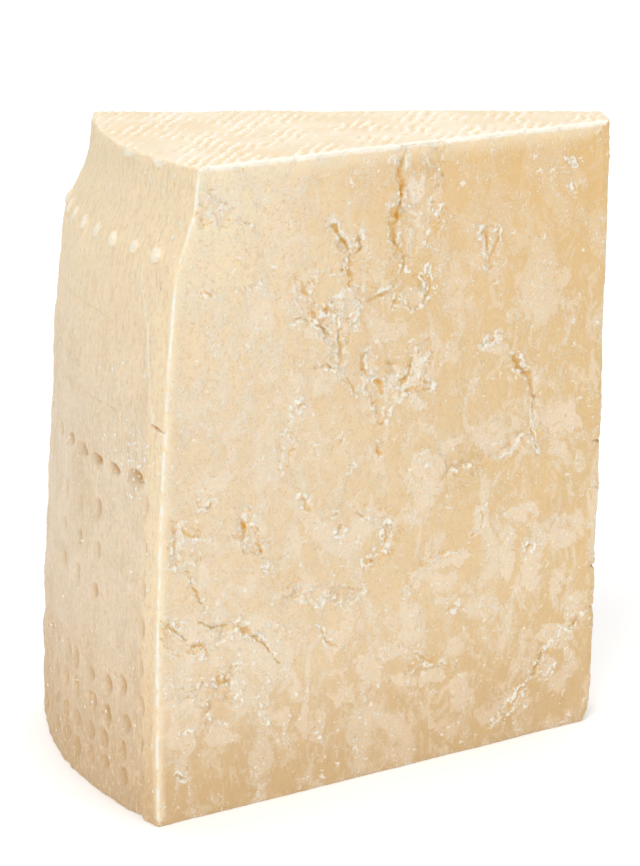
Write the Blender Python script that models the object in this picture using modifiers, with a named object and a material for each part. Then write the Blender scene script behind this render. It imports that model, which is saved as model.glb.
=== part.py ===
"""A half-height wedge of hard, granular cheese.

The real thing is one solid piece: a drum-shaped wheel is cut across at half its height, then
split by two knife cuts into wedges, and the thin end is trimmed off. The model is made in the
same order: a turned wheel half is cut by planes, and the tears that the knife leaves in the
crumbly paste are then taken out of the front cut.

Frame, in metres: +Z up along the wheel's axis, +X from the rind to the trimmed tip along the
line that halves the two cuts, +Y from the front cut to the back cut. The origin is the centre
of the wedge's bounding box on the surface that it stands on.
"""

from math import cos, radians, sin, sqrt

import bmesh
import bpy
from mathutils import Matrix, Vector

MM = 0.001

# Driving dimensions
HEIGHT = 0.145  # half of a 290 mm wheel
CUT_ANGLE = radians(28.92)  # between the two knife cuts
FRONT_RIND = 0.1385  # from the line where the cuts would meet to the rind, along the front cut
BACK_RIND = 0.1533  # the same, along the back cut
FRONT_TIP = 0.0240  # from that line to the trimmed tip, along the front cut
BACK_TIP = 0.0216  # the same, along the back cut
RIND_RADIUS = 0.0992  # the rind's curve in plan at the mid-height cut
BARREL_RADIUS = 1.2  # the rind's curve in side view, square to the mid-height cut
HOOP_STEP = 0.0030  # how far the band at the rim is drawn in by the mould
HOOP_LOW = 0.121  # height where the step to that band starts
HOOP_HIGH = 0.138  # height where it ends
BACK_LEAN = 0.027  # how much more the rind leans in at the back cut, for each metre of height
BACK_HOOP_STEP = 0.0012  # how much deeper the step at the rim is at the back cut
CORNER_LOSS = (0.0036, 0.0100)  # broken corner at the tip's foot: along the cut, and up
EDGE_ROUND = 0.0007  # wear along the cut edges
RIND_ROWS = 29  # rows of faces up the rind
WHEEL_STEPS = 144  # faces round the whole wheel
TEAR_SIDES = 1  # bevel resolution of a tear's round section

# The larger tears in the front cut: half width, then hand-placed points in millimetres, each
# as (distance from the rind corner along the cut, height above the mid-height cut).
TEARS = {
    "tear_from_top": (1.3, ((62, 146), (61, 137), (59.5, 128), (60.5, 121), (61.5, 117))),
    "tear_upper_fork": (0.9, ((44, 129), (46.5, 123), (48, 117), (50, 111), (47, 104), (49, 95))),
    "tear_cross": (0.9, ((50, 111.5), (55, 112.5), (59, 115.5), (61.5, 118))),
    "tear_left_fork": (0.8, ((39, 110.5), (42.5, 106), (46, 102), (43, 98.5), (40, 99))),
    "tear_middle": (1.0, ((52, 98), (54, 92), (57, 86))),
    "tear_middle_right": (0.9, ((60.5, 91), (63, 96), (66.5, 99.5))),
    "tear_bow": (0.8, ((86.5, 100), (90, 94.5), (93.5, 90), (95.5, 85), (95.7, 77), (97, 71))),
    "tear_step": (0.8, ((71, 69.5), (76, 70.3), (81, 71.5), (86, 71), (91, 73.5), (94, 76.5))),
    "tear_level": (1.0, ((32, 47.5), (36, 48), (41, 46.5), (46, 45.5), (50, 46))),
    "tear_low_left": (0.8, ((3, 46.5), (7, 43.5), (11, 41), (12.5, 37.5))),
    "tear_low_middle": (0.8, ((12, 45.5), (16, 43.8), (20, 44.5), (25, 41), (28.5, 35.5))),
    "tear_left": (0.9, ((21, 69), (22, 64.5), (25, 60), (29, 54.5))),
    "tear_corner": (0.9, ((91, 7.5), (96, 14.5), (100, 20.5), (104, 25), (110, 30))),
}

PASTE_COLOUR = (0.812, 0.651, 0.423, 1.0)
PASTE_ROUGHNESS = 0.55


def cut_direction(side: int) -> Vector:
    """The way along a cut, from the rind to the tip: side -1 is the front cut, 1 the back."""
    half = CUT_ANGLE / 2
    return Vector((cos(half), -side * sin(half), 0))


def corner(side: int, distance: float) -> Vector:
    """A corner of the plan, before the frame's origin is set: its distance is from the line
    where the cuts would meet."""
    return -distance * cut_direction(side)


def wheel_centre() -> Vector:
    """The centre of the rind's curve, which passes through both rind corners."""
    front, back = corner(-1, FRONT_RIND), corner(1, BACK_RIND)
    chord = back - front
    towards_tip = Vector((chord.y, -chord.x, 0)).normalized()
    reach = sqrt(RIND_RADIUS**2 - (chord.length / 2) ** 2)
    return (front + back) / 2 + towards_tip * reach


def box_centre() -> Vector:
    """The middle of the plan's bounding box, which becomes the frame's origin."""
    low_x = wheel_centre().x - RIND_RADIUS
    high_x = max(corner(-1, FRONT_TIP).x, corner(1, BACK_TIP).x)
    low_y, high_y = corner(-1, FRONT_RIND).y, corner(1, BACK_RIND).y
    return Vector(((low_x + high_x) / 2, (low_y + high_y) / 2, 0))


def hoop_share(height: float) -> float:
    """The share of the step at the rim that a height has passed, from 0 to 1."""
    step = min(max((height - HOOP_LOW) / (HOOP_HIGH - HOOP_LOW), 0), 1)
    return step * step * (3 - 2 * step)


def rind_inset(height: float) -> float:
    """How far the rind stands inside its widest line, at a height above the mid-height cut."""
    return height**2 / (2 * BARREL_RADIUS) + HOOP_STEP * hoop_share(height)


def lean_in_at_the_back(form: bmesh.types.BMesh) -> None:
    """Draws the upper rind in towards the wheel's axis, from nothing at the front cut to its
    full amount at the back cut, as on a wheel that has settled unevenly on its shelf."""
    front = corner(-1, FRONT_RIND) - wheel_centre()
    back = corner(1, BACK_RIND) - wheel_centre()
    whole_turn = front.xy.angle_signed(back.xy)
    for vertex in form.verts:
        outward = Vector((vertex.co.x, vertex.co.y, 0))
        if outward.length < RIND_RADIUS / 2:
            continue
        share = min(max(front.xy.angle_signed(outward.xy) / whole_turn, 0), 1)
        height = vertex.co.z
        inset = BACK_LEAN * height + BACK_HOOP_STEP * hoop_share(height)
        vertex.co -= outward.normalized() * inset * share


def collection(name: str) -> bpy.types.Collection:
    """A new collection in the scene."""
    made = bpy.data.collections.new(name)
    bpy.context.scene.collection.children.link(made)
    return made


def evaluated_mesh(source: bpy.types.Object) -> bpy.types.Mesh:
    """A plain mesh of an object as its modifiers and curve settings leave it."""
    bpy.context.view_layer.update()
    graph = bpy.context.evaluated_depsgraph_get()
    return bpy.data.meshes.new_from_object(source.evaluated_get(graph))


def turned_half_wheel(home: bpy.types.Collection) -> bpy.types.Mesh:
    """The upper half of the wheel, turned about its axis."""
    heights = [HEIGHT * (1 - row / RIND_ROWS) for row in range(RIND_ROWS + 1)]
    outline = [(0, HEIGHT)] + [(RIND_RADIUS - rind_inset(z), z) for z in heights] + [(0, 0)]
    profile = bpy.data.meshes.new("half_wheel_profile")
    edges = [(point, point + 1) for point in range(len(outline) - 1)]
    profile.from_pydata([(x, 0, z) for x, z in outline], edges, [])
    lathe = bpy.data.objects.new("half_wheel", profile)
    home.objects.link(lathe)
    screw = lathe.modifiers.new("turn", "SCREW")
    screw.angle = radians(360)
    screw.steps = WHEEL_STEPS
    screw.render_steps = WHEEL_STEPS
    screw.use_merge_vertices = True
    screw.merge_threshold = 0.00001
    screw.use_smooth_shade = False
    turned = evaluated_mesh(lathe)
    bpy.data.objects.remove(lathe)
    return turned


def knife_cut(form: bmesh.types.BMesh, through: Vector, away: Vector) -> None:
    """Cuts the form flat at a plane, and drops what is on the side that away points to."""
    everything = form.verts[:] + form.edges[:] + form.faces[:]
    cut = bmesh.ops.bisect_plane(
        form, geom=everything, dist=1e-7, plane_co=through, plane_no=away, clear_outer=True
    )
    rim = [item for item in cut["geom_cut"] if isinstance(item, bmesh.types.BMEdge)]
    bmesh.ops.edgeloop_fill(form, edges=rim)


def wedge_mesh(home: bpy.types.Collection) -> bpy.types.Mesh:
    """The wedge with its rind, its two cuts, its trimmed tip and its broken corner."""
    mesh = turned_half_wheel(home)
    form = bmesh.new()
    form.from_mesh(mesh)
    lean_in_at_the_back(form)
    bmesh.ops.translate(form, verts=form.verts[:], vec=wheel_centre())
    front_tip, back_tip = corner(-1, FRONT_TIP), corner(1, BACK_TIP)
    up = Vector((0, 0, 1))
    knife_cut(form, front_tip, cut_direction(-1).cross(up))
    knife_cut(form, back_tip, up.cross(cut_direction(1)))
    knife_cut(form, front_tip, (back_tip - front_tip).cross(up))
    loss_along, loss_up = CORNER_LOSS
    foot = front_tip - cut_direction(-1) * loss_along
    head = front_tip + up * loss_up
    knife_cut(form, foot, (head - foot).cross(Vector((0, -1, 0))))
    bmesh.ops.translate(form, verts=form.verts[:], vec=-box_centre())
    bmesh.ops.recalc_face_normals(form, faces=form.faces[:])
    form.to_mesh(mesh)
    form.free()
    return mesh


def on_front_cut(along: float, up: float) -> Vector:
    """A point on the front cut, from millimetres along it and up it."""
    start = corner(-1, FRONT_RIND) - box_centre()
    return start + cut_direction(-1) * along * MM + Vector((0, 0, up * MM))


def tear_cutter(
    name: str, half_width: float, places: tuple, home: bpy.types.Collection
) -> bpy.types.Object:
    """A round rod that lies half sunk in the front cut along a tear."""
    curve = bpy.data.curves.new(name, "CURVE")
    curve.dimensions = "3D"
    curve.bevel_depth = half_width * MM
    curve.bevel_resolution = TEAR_SIDES
    curve.use_fill_caps = True
    spline = curve.splines.new("POLY")
    spline.points.add(len(places) - 1)
    for point, place in zip(spline.points, places):
        point.co = (*on_front_cut(*place), 1)
    drawn = bpy.data.objects.new(name + "_line", curve)
    home.objects.link(drawn)
    mesh = evaluated_mesh(drawn)
    bpy.data.objects.remove(drawn)
    welded = bmesh.new()
    welded.from_mesh(mesh)
    bmesh.ops.remove_doubles(welded, verts=welded.verts[:], dist=0.000001)
    bmesh.ops.recalc_face_normals(welded, faces=welded.faces[:])
    welded.to_mesh(mesh)
    welded.free()
    cutter = bpy.data.objects.new(name, mesh)
    cutter.matrix_world = Matrix.Identity(4)
    cutter.hide_render = True
    cutter.display_type = "WIRE"
    home.objects.link(cutter)
    return cutter


def paste_material() -> bpy.types.Material:
    """Pale straw-coloured paste, dull where it is cut."""
    material = bpy.data.materials.new("hard_cheese")
    material.use_nodes = True
    shader = material.node_tree.nodes["Principled BSDF"]
    shader.inputs["Base Color"].default_value = PASTE_COLOUR
    shader.inputs["Roughness"].default_value = PASTE_ROUGHNESS
    shader.inputs["Metallic"].default_value = 0
    material.diffuse_color = PASTE_COLOUR
    return material


def main() -> None:
    """Builds the wedge in its collection, and its cutters in another."""
    for old in list(bpy.data.objects):
        bpy.data.objects.remove(old)
    parts = collection("Cheese wedge")
    cutters = collection("Cutters")
    wedge = bpy.data.objects.new("cheese_wedge", wedge_mesh(cutters))
    wedge.data.materials.clear()
    wedge.data.materials.append(paste_material())
    parts.objects.link(wedge)
    wear = wedge.modifiers.new("worn_edges", "BEVEL")
    wear.width = EDGE_ROUND
    wear.segments = 2
    wear.limit_method = "ANGLE"
    wear.angle_limit = radians(40)
    for name, (half_width, places) in TEARS.items():
        tear = wedge.modifiers.new(name, "BOOLEAN")
        tear.operation = "DIFFERENCE"
        tear.solver = "EXACT"
        tear.object = tear_cutter(name, half_width, places, cutters)


main()
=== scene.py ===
"""The looks of a half-height wedge of hard, granular cheese, built around its CAD model.

The wedge is one piece. A closed box of fine quads is bent to the wedge's own form, and every
face is then worked as its real surface: tears, scars and crumbs in the cuts, mould marks in
the rind, a cloth's weave in the top. Lengths inside the classes are in millimetres.
"""

import logging  # noqa: E402
import math  # noqa: E402
from dataclasses import dataclass, field, replace  # noqa: E402
from enum import Enum  # noqa: E402
from itertools import product  # noqa: E402
from typing import ClassVar  # noqa: E402

import bmesh  # noqa: E402
import bpy  # noqa: E402
import numpy as np  # noqa: E402
from mathutils import Matrix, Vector  # noqa: E402


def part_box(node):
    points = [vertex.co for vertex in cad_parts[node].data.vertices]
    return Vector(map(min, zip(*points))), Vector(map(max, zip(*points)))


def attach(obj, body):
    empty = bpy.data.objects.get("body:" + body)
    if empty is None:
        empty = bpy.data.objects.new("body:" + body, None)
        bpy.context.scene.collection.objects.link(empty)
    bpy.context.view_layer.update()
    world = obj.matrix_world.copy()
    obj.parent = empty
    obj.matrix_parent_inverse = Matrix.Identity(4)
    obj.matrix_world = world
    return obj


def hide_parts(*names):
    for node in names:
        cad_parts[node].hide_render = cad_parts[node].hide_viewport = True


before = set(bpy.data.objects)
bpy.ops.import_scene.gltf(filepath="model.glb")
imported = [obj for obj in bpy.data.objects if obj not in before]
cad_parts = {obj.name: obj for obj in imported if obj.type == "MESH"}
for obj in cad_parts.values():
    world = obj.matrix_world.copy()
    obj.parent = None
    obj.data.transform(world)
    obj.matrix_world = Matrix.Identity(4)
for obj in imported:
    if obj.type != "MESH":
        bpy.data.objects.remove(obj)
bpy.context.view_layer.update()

MM = 0.001
LOG = logging.getLogger("cheese_wedge")

Array = np.ndarray


class Side(Enum):
    """The six surfaces of the wedge."""

    FRONT = 0
    BACK = 1
    RIND = 2
    TIP = 3
    PLATE = 4
    FOOT = 5


class Skin(Enum):
    """The three kinds of surface, in the order of the piece's material slots."""

    CUT = 0
    RIND = 1
    CLOTH = 2


SKIN_OF = {
    Side.FRONT: Skin.CUT,
    Side.BACK: Skin.CUT,
    Side.RIND: Skin.RIND,
    Side.TIP: Skin.CUT,
    Side.PLATE: Skin.CLOTH,
    Side.FOOT: Skin.CUT,
}
PLAIN = (Side.FOOT.value, Side.TIP.value)  # surfaces whose edges get no painted white edge highlight


def linear(hex_colour: str) -> tuple[float, float, float, float]:
    """Turns an sRGB hex colour into linear light.

    Args:
        hex_colour: six hex digits after a #.

    Returns:
        Red, green and blue in linear light, and an alpha of 1.
    """
    channels = [int(hex_colour[at : at + 2], 16) / 255 for at in (1, 3, 5)]
    light = [c / 12.92 if c <= 0.04045 else ((c + 0.055) / 1.055) ** 2.4 for c in channels]
    return (*light, 1.0)


def eased(share: Array) -> Array:
    """A smooth step from 0 to 1 over the shares from 0 to 1, and level outside them."""
    held = np.clip(share, 0, 1)
    return held * held * (3 - 2 * held)


class Grain:
    """Seeded noise that can be read at any place."""

    TABLE = 256

    def __init__(self, seed: int) -> None:
        """Draws the noise's tables.

        Args:
            seed: the same seed gives the same noise.
        """
        draw = np.random.default_rng(seed)
        self.order = draw.permutation(self.TABLE)
        slopes = draw.normal(size=(self.TABLE, 3))
        self.slopes = slopes / np.linalg.norm(slopes, axis=1, keepdims=True)
        self.spots = draw.uniform(0.1, 0.9, (self.TABLE, 2))
        self.lots = draw.uniform(0, 1, self.TABLE)

    def _pick(self, *cells: Array) -> Array:
        """Looks cells up in the shuffled table.

        Args:
            cells: the cells' whole numbers, one array for each direction.

        Returns:
            A table index for each cell.
        """
        found = np.zeros_like(cells[0])
        for cell in cells:
            found = self.order[(found + cell) % self.TABLE]
        return found

    def waves(self, places: Array, size: float) -> Array:
        """Smooth noise.

        Args:
            places: points, one per row, with three coordinates.
            size: the spacing of its swells, in the places' unit.

        Returns:
            A value for each point, from about -1 to 1.
        """
        scaled = places / size
        cell = np.floor(scaled).astype(np.int64)
        part = scaled - cell
        fade = part**3 * (part * (part * 6 - 15) + 10)
        total = np.zeros(len(places))
        for corner in product((0, 1), repeat=3):
            slope = self.slopes[self._pick(*(cell[:, i] + corner[i] for i in range(3)))]
            share = np.where(corner, fade, 1 - fade).prod(axis=1)
            total += share * ((part - corner) * slope).sum(axis=1)
        return total * 1.7

    def layers(self, places: Array, size: float, count: int) -> Array:
        """Smooth noise with finer noise on it, each layer half as big and half as strong."""
        return sum(self.waves(places + 31.7 * n, size / 2**n) / 2**n for n in range(count))

    def grains(self, flat: Array, size: float) -> tuple[Array, Array]:
        """Scattered grains on a flat surface.

        Args:
            flat: points, one per row, with two coordinates.
            size: the grains' mean spacing.

        Returns:
            The distance to the nearest grain's centre as a share of the spacing, and a number
            from 0 to 1 that belongs to that grain.
        """
        scaled = flat / size
        cell = np.floor(scaled).astype(np.int64)
        nearest = np.full(len(flat), 9.0)
        lot = np.zeros(len(flat))
        for step in product((-1, 0, 1), repeat=2):
            picked = self._pick(cell[:, 0] + step[0], cell[:, 1] + step[1])
            away = np.hypot(*(cell + step + self.spots[picked] - scaled).T)
            closer = away < nearest
            nearest[closer] = away[closer]
            lot[closer] = self.lots[picked[closer]]
        return nearest, lot


@dataclass(frozen=True)
class Relief:
    """What a surface does at each point.

    The fields are read by the finishes: rift, torn and lip are distances in millimetres into a
    split, a broken patch and a crumbly lip, flake counts thin terraces, and milk, crumb and
    sunk run from 0 to 1.
    """

    height: Array
    fields: dict[str, Array]


FAR = -3.0  # a distance into a flaw that says that there is none near
FIELDS = {"rift": FAR, "torn": FAR, "lip": FAR, "flake": 0.0, "milk": 0.0, "crumb": 0.0, "sunk": 0.0}


def blank(count: int) -> dict[str, Array]:
    """Fields for so many points on a surface where nothing happens."""
    return {name: np.full(count, value) for name, value in FIELDS.items()}


@dataclass(frozen=True)
class PathFit:
    """Where points lie beside a path: how far off, how far along, and on which side."""

    away: Array
    along: Array
    side: Array


def beside(points: Array, path: Array) -> PathFit:
    """Measures points against a path of straight runs.

    Args:
        points: two coordinates a row.
        path: the path's own points, in order.

    Returns:
        The distance, the share of the path's length, and 1 to the left of it or -1.
    """
    runs = path[1:] - path[:-1]
    lengths = np.hypot(*runs.T)
    before = np.concatenate([[0], np.cumsum(lengths)])
    away = np.full(len(points), np.inf)
    along = np.zeros(len(points))
    side = np.ones(len(points))
    for start, run, length, gone in zip(path, runs, lengths, before):
        rel = points - start
        share = np.clip(rel @ run / length**2, 0, 1)
        off = np.hypot(*(rel - share[:, None] * run).T)
        closer = off < away
        away[closer] = off[closer]
        along[closer] = ((gone + share * length) / before[-1])[closer]
        side[closer] = np.sign(run[0] * rel[:, 1] - run[1] * rel[:, 0])[closer]
    return PathFit(away, along, side)


def inside(points: Array, outline: Array) -> Array:
    """Finds points inside a closed outline.

    Args:
        points: two coordinates a row.
        outline: the outline's own points, in order.

    Returns:
        True for each point that lies inside.
    """
    odd = np.zeros(len(points), bool)
    for (ax, ay), (bx, by) in zip(outline, np.roll(outline, -1, axis=0)):
        spans = (ay > points[:, 1]) != (by > points[:, 1])
        slope = (bx - ax) / (by - ay if by != ay else 1)
        odd ^= spans & (points[:, 0] < ax + slope * (points[:, 1] - ay))
    return odd


Place = tuple[float, float]


@dataclass(frozen=True)
class Tear:
    """A narrow split in the paste, where the knife parted it along a weak line."""

    path: tuple[Place, ...]
    half_width: float
    depth: float
    writes: ClassVar[str] = "rift"

    def places(self) -> Array:
        """The split's own points."""
        return np.array(self.path)

    def work(self, points: Array, lots: Array) -> tuple[Array, Array]:
        """The split's groove.

        Args:
            points: places on the cut.
            lots: a number from 0 to 1 for each, which roughens the edge.

        Returns:
            The height there, and how far into the split each point lies.
        """
        fit = beside(points, self.places())
        taper = 0.35 + 0.65 * np.sqrt(np.sin(np.pi * np.clip(fit.along, 0.02, 0.98)))
        reach = self.half_width * taper * (0.3 + 1.1 * lots)
        opened = np.clip(1 - fit.away / reach, 0, 1)
        return -self.depth * taper * opened**0.7, reach - fit.away + 0.06


@dataclass(frozen=True)
class Scar:
    """A patch where the paste broke away below the cut instead of being sliced."""

    outline: tuple[Place, ...]
    depth: float
    rough: float = 0.5
    writes: ClassVar[str] = "torn"

    def places(self) -> Array:
        """The patch's own points."""
        return np.array(self.outline)

    def work(self, points: Array, lots: Array) -> tuple[Array, Array]:
        """The patch's floor.

        Args:
            points: places on the cut.
            lots: a number from 0 to 1 for each, which roughens the edge and the floor.

        Returns:
            The height there, and how far inside the patch's edge each point lies.
        """
        outline = self.places()
        fit = beside(points, np.vstack([outline, outline[:1]]))
        within = np.where(inside(points, outline), fit.away, -fit.away) + 2.2 * (lots - 0.5)
        floor = eased(within / 0.5)
        return -self.depth * floor * (0.7 + self.rough * (lots - 0.5)), within


@dataclass(frozen=True)
class Ledge:
    """A step between a flake and the lower paste on its right, seen along the path."""

    path: tuple[Place, ...]
    drop: float
    run_out: float
    writes: ClassVar[str] = "lip"

    def places(self) -> Array:
        """The step's own points."""
        return np.array(self.path)

    def work(self, points: Array, lots: Array) -> tuple[Array, Array]:
        """The lower side's drop, which runs out with distance.

        Args:
            points: places on the cut.
            lots: a number from 0 to 1 for each, which roughens the lip.

        Returns:
            The height there, and how far onto the crumbly lip each point lies.
        """
        fit = beside(points, self.places())
        ends = eased(np.minimum(fit.along, 1 - fit.along) / 0.12)
        high = fit.side * fit.away
        low = eased((0.25 - high) / 0.5)
        height = -self.drop * ends * low * np.exp(-fit.away / self.run_out)
        lip = (0.5 + 0.9 * lots) - np.where(high > 0.15, high, 1.05 - 6 * high)
        return height, np.where(ends > 0.05, lip - 2 * (1 - ends), FAR)


Flaw = Tear | Scar | Ledge


@dataclass(frozen=True)
class Bloom:
    """A paler, drier patch of paste, flush with the rest."""

    middle: Place
    half_width: float
    half_height: float
    strength: float = 0.8

    def share(self, points: Array) -> Array:
        """How much each point lies in the patch."""
        away = np.hypot(*((points - self.middle) / (self.half_width, self.half_height)).T)
        return self.strength * eased((1.25 - away) / 0.5)


# Flaws in the front cut: the distance from the rind corner along the cut, and the height
# above the foot.
FRONT_TEARS = (
    Tear(((60.8, 144), (60.3, 138), (60.6, 133), (58.8, 128), (59.2, 123.5), (61.4, 120)), 0.65, 0.6),
    Tear(((61.6, 121), (61.2, 118.5), (60, 116.8)), 0.36, 0.41),
    Tear(((44.2, 129.4), (45.6, 126.6), (46.8, 124.4), (47.6, 121), (47.2, 119)), 0.58, 0.56),
    Tear(((50, 126.8), (49.8, 123.4), (48.2, 121.6)), 0.4, 0.45),
    Tear(((42.6, 119.7), (45, 119.3), (47.4, 119), (47.6, 116.4), (49, 114), (49.8, 111.3)), 0.43, 0.56),
    Tear(((50, 111.6), (53, 111.9), (55, 112.9), (57.4, 113.3), (59.4, 115.6), (61, 118.6)), 0.4, 0.48),
    Tear(((59, 112.6), (59.2, 110.6), (61, 109.8)), 0.36, 0.45),
    Tear(((66.4, 117), (68, 115), (68.6, 112), (66.8, 109.8)), 0.4, 0.37),
    Tear(((64.2, 115.6), (65.6, 114), (66.2, 112.6)), 0.36, 0.33),
    Tear(((38.3, 112.7), (39.4, 111.6), (39.2, 110.4)), 0.5, 0.48),
    Tear(((34, 109.8), (37, 110.2), (39.5, 109.7)), 0.32, 0.33),
    Tear(((43.2, 112.4), (42.2, 111.7), (41.6, 110.4)), 0.47, 0.45),
    Tear(((40, 108.6), (41.4, 106.8), (42.9, 105.2)), 0.5, 0.89),
    Tear(((44.6, 109.4), (45, 107), (45.7, 104.4), (45.2, 102), (46.2, 99.4)), 0.43, 0.67),
    Tear(((49.6, 109), (47.6, 107.4), (46.4, 106.4)), 0.29, 0.3),
    Tear(((39.8, 98.9), (42.4, 98.4), (44.6, 97.6), (46.6, 97.3)), 0.43, 0.63),
    Tear(((47, 97.6), (48, 94.6), (49.4, 91.6)), 0.32, 0.26),
    Tear(((36.4, 118.2), (37, 116), (38.6, 114.8)), 0.43, 0.33),
    Tear(((33.4, 101.6), (34.6, 101.3), (35.6, 100.4)), 0.36, 0.26),
    Tear(((52.4, 100), (51.6, 98), (52.3, 95)), 0.5, 0.48),
    Tear(((53.6, 93.6), (55.6, 92.8), (56, 90.2)), 0.65, 0.52),
    Tear(((57.6, 86.4), (56.6, 84.8), (56.3, 83)), 0.5, 0.45),
    Tear(((57, 97.6), (58.4, 97), (59.8, 97.5)), 0.32, 0.33),
    Tear(((61, 91.5), (62.6, 94.6), (63.4, 97.8), (65.6, 99.6)), 0.58, 0.56),
    Tear(((62, 90.3), (65, 90.4), (68.6, 90.4)), 0.36, 0.41),
    Tear(((66.6, 94), (67.4, 92), (69, 91.2)), 0.5, 0.48),
    Tear(((33.2, 90.3), (35.6, 91.4), (38.6, 91.9), (41, 91)), 0.29, 0.25),
    Tear(((31, 81.8), (33, 80.9), (35, 81.2)), 0.29, 0.25),
    Tear(((55, 79), (54.8, 77), (56, 76.2)), 0.54, 0.37),
    Tear(((45.8, 81.8), (44.8, 80.6)), 0.36, 0.26),
    Tear(((49.6, 75.4), (48, 74.2)), 0.29, 0.25),
    Tear(((45.6, 62), (45.4, 60.6), (44.2, 60.3)), 0.54, 0.45),
    Tear(((43.6, 64.8), (45, 64.6)), 0.29, 0.25),
    Tear(((35.4, 70), (37.4, 67.8), (38.8, 66.6)), 0.36, 0.3),
    Tear(((86.4, 100.4), (88.6, 97.4), (90.2, 94.4)), 0.22, 0.25),
    Tear(((90, 94.3), (91.6, 92.4), (92.8, 90.8), (94.6, 89)), 0.61, 0.87),
    Tear(((94.6, 89.4), (95.2, 86.4), (95.9, 83), (95.6, 79.6)), 0.36, 0.67),
    Tear(((95.6, 79.6), (95.4, 76.8), (96.8, 73), (97.4, 70.4)), 0.22, 0.25),
    Tear(((80.4, 96.4), (82.8, 98.4), (85.4, 99.4)), 0.22, 0.25),
    Tear(((80.8, 124), (81.6, 122), (82.4, 118.8)), 0.58, 0.41),
    Tear(((84.4, 123.6), (84.8, 121), (83.8, 118.6), (83, 116.6)), 0.43, 0.37),
    Tear(((95.6, 121), (96.6, 121.6)), 0.36, 0.3),
    Tear(((103, 136.6), (104.6, 136.4)), 0.36, 0.33),
    Tear(((104.6, 131.6), (105.6, 129.6), (106.4, 131)), 0.36, 0.26),
    Tear(((70, 130.2), (69.8, 128.8)), 0.29, 0.26),
    Tear(((15, 135.8), (16.6, 135.4), (17.8, 136)), 0.43, 0.3),
    Tear(((21.8, 132.9), (23.4, 132.2), (25, 132.8)), 0.25, 0.25),
    Tear(((12.2, 119.4), (13.8, 117.6), (15, 117.2)), 0.29, 0.25),
    Tear(((21.4, 118), (23.4, 118.8), (25.4, 119)), 0.25, 0.25),
    Tear(((10.8, 73.4), (13, 72.6), (15, 72.8)), 0.36, 0.3),
    Tear(((6.4, 69), (7.4, 67), (9, 65.6), (11.4, 65)), 0.36, 0.37),
    Tear(((5.4, 68.2), (4.8, 65), (4.6, 61.8)), 0.29, 0.3),
    Tear(((6.2, 58.8), (7.8, 57.8), (8.8, 56.2), (9.4, 53.8), (11, 50.8), (11.9, 49.2)), 0.36, 0.41),
    Tear(((20.6, 67.6), (21.8, 65.4), (21.2, 62.8)), 0.65, 0.48),
    Tear(((24.4, 61.8), (25.4, 60), (25.8, 57.6)), 0.54, 0.37),
    Tear(((26.4, 55.6), (28, 54.8), (29.2, 54)), 0.25, 0.25),
    Tear(((2.6, 47.4), (4.8, 44.8), (7, 43), (9.4, 41.2), (11.6, 40), (12.6, 37.8)), 0.47, 0.63),
    Tear(((10.6, 46), (12.4, 45), (13.8, 43.2), (16, 43.8), (18.6, 44.2)), 0.4, 0.52),
    Tear(((19.8, 44.8), (20.6, 43), (23, 41.8), (24.8, 39.8), (26.4, 37.4), (29, 34.2),
          (30.6, 32.4)), 0.36, 0.56),
    Tear(((16.6, 34.9), (18.2, 34.5), (19.4, 34.2)), 0.25, 0.45),
    Tear(((14.6, 32.4), (16, 31), (17.6, 31.6), (18.4, 30.2)), 0.58, 0.48),
    Tear(((12, 23.8), (13.8, 22.4), (15.4, 21.2)), 0.32, 0.3),
    Tear(((24.8, 25.4), (25.4, 23), (25, 21.4)), 0.29, 0.25),
    Tear(((5, 11.6), (6.8, 10.6), (8.8, 11)), 0.36, 0.3),
    Tear(((7, 21), (8, 19.6)), 0.36, 0.3),
    Tear(((52.2, 51.7), (53.6, 52.2)), 0.5, 0.45),
    Tear(((54.6, 54), (55.8, 53.8)), 0.43, 0.37),
    Tear(((50.6, 65.4), (51.4, 63.4), (53, 62.4)), 0.29, 0.25),
    Tear(((56.8, 56), (58, 58), (57.6, 59.8)), 0.32, 0.25),
    Tear(((39, 38.8), (41, 38.4), (41.6, 35.4), (44, 33.4), (46, 31.6)), 0.25, 0.25),
    Tear(((62.2, 42.4), (63, 43.4)), 0.36, 0.33),
    Tear(((73.6, 36.2), (75.2, 36.7), (76.6, 37.4)), 0.29, 0.26),
    Tear(((65, 27.4), (67.4, 26.4), (69.4, 25)), 0.43, 0.3),
    Tear(((71.4, 24.4), (72.4, 24)), 0.36, 0.45),
    Tear(((82.4, 58.4), (83, 56.2), (81.4, 54.2), (80, 53.4)), 0.29, 0.26),
    Tear(((88.8, 29.4), (89.6, 28.4), (90.6, 27.4)), 0.36, 0.33),
    Tear(((86, 5), (89, 6.2), (92.4, 9.4), (95, 12.2), (97, 14.8)), 0.29, 0.26),
    Tear(((97.6, 15.2), (98.4, 16.6), (99.4, 18.2), (99.9, 20)), 0.61, 0.87),
    Tear(((98, 15), (101, 13.8), (103, 15)), 0.25, 0.25),
    Tear(((107, 25.4), (109.4, 25.8), (111, 27.6)), 0.4, 0.45),
    Tear(((96.4, 48.6), (95.6, 46.2)), 0.36, 0.26),
    Tear(((104.4, 77.2), (105.4, 79.2)), 0.36, 0.3),
)
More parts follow.
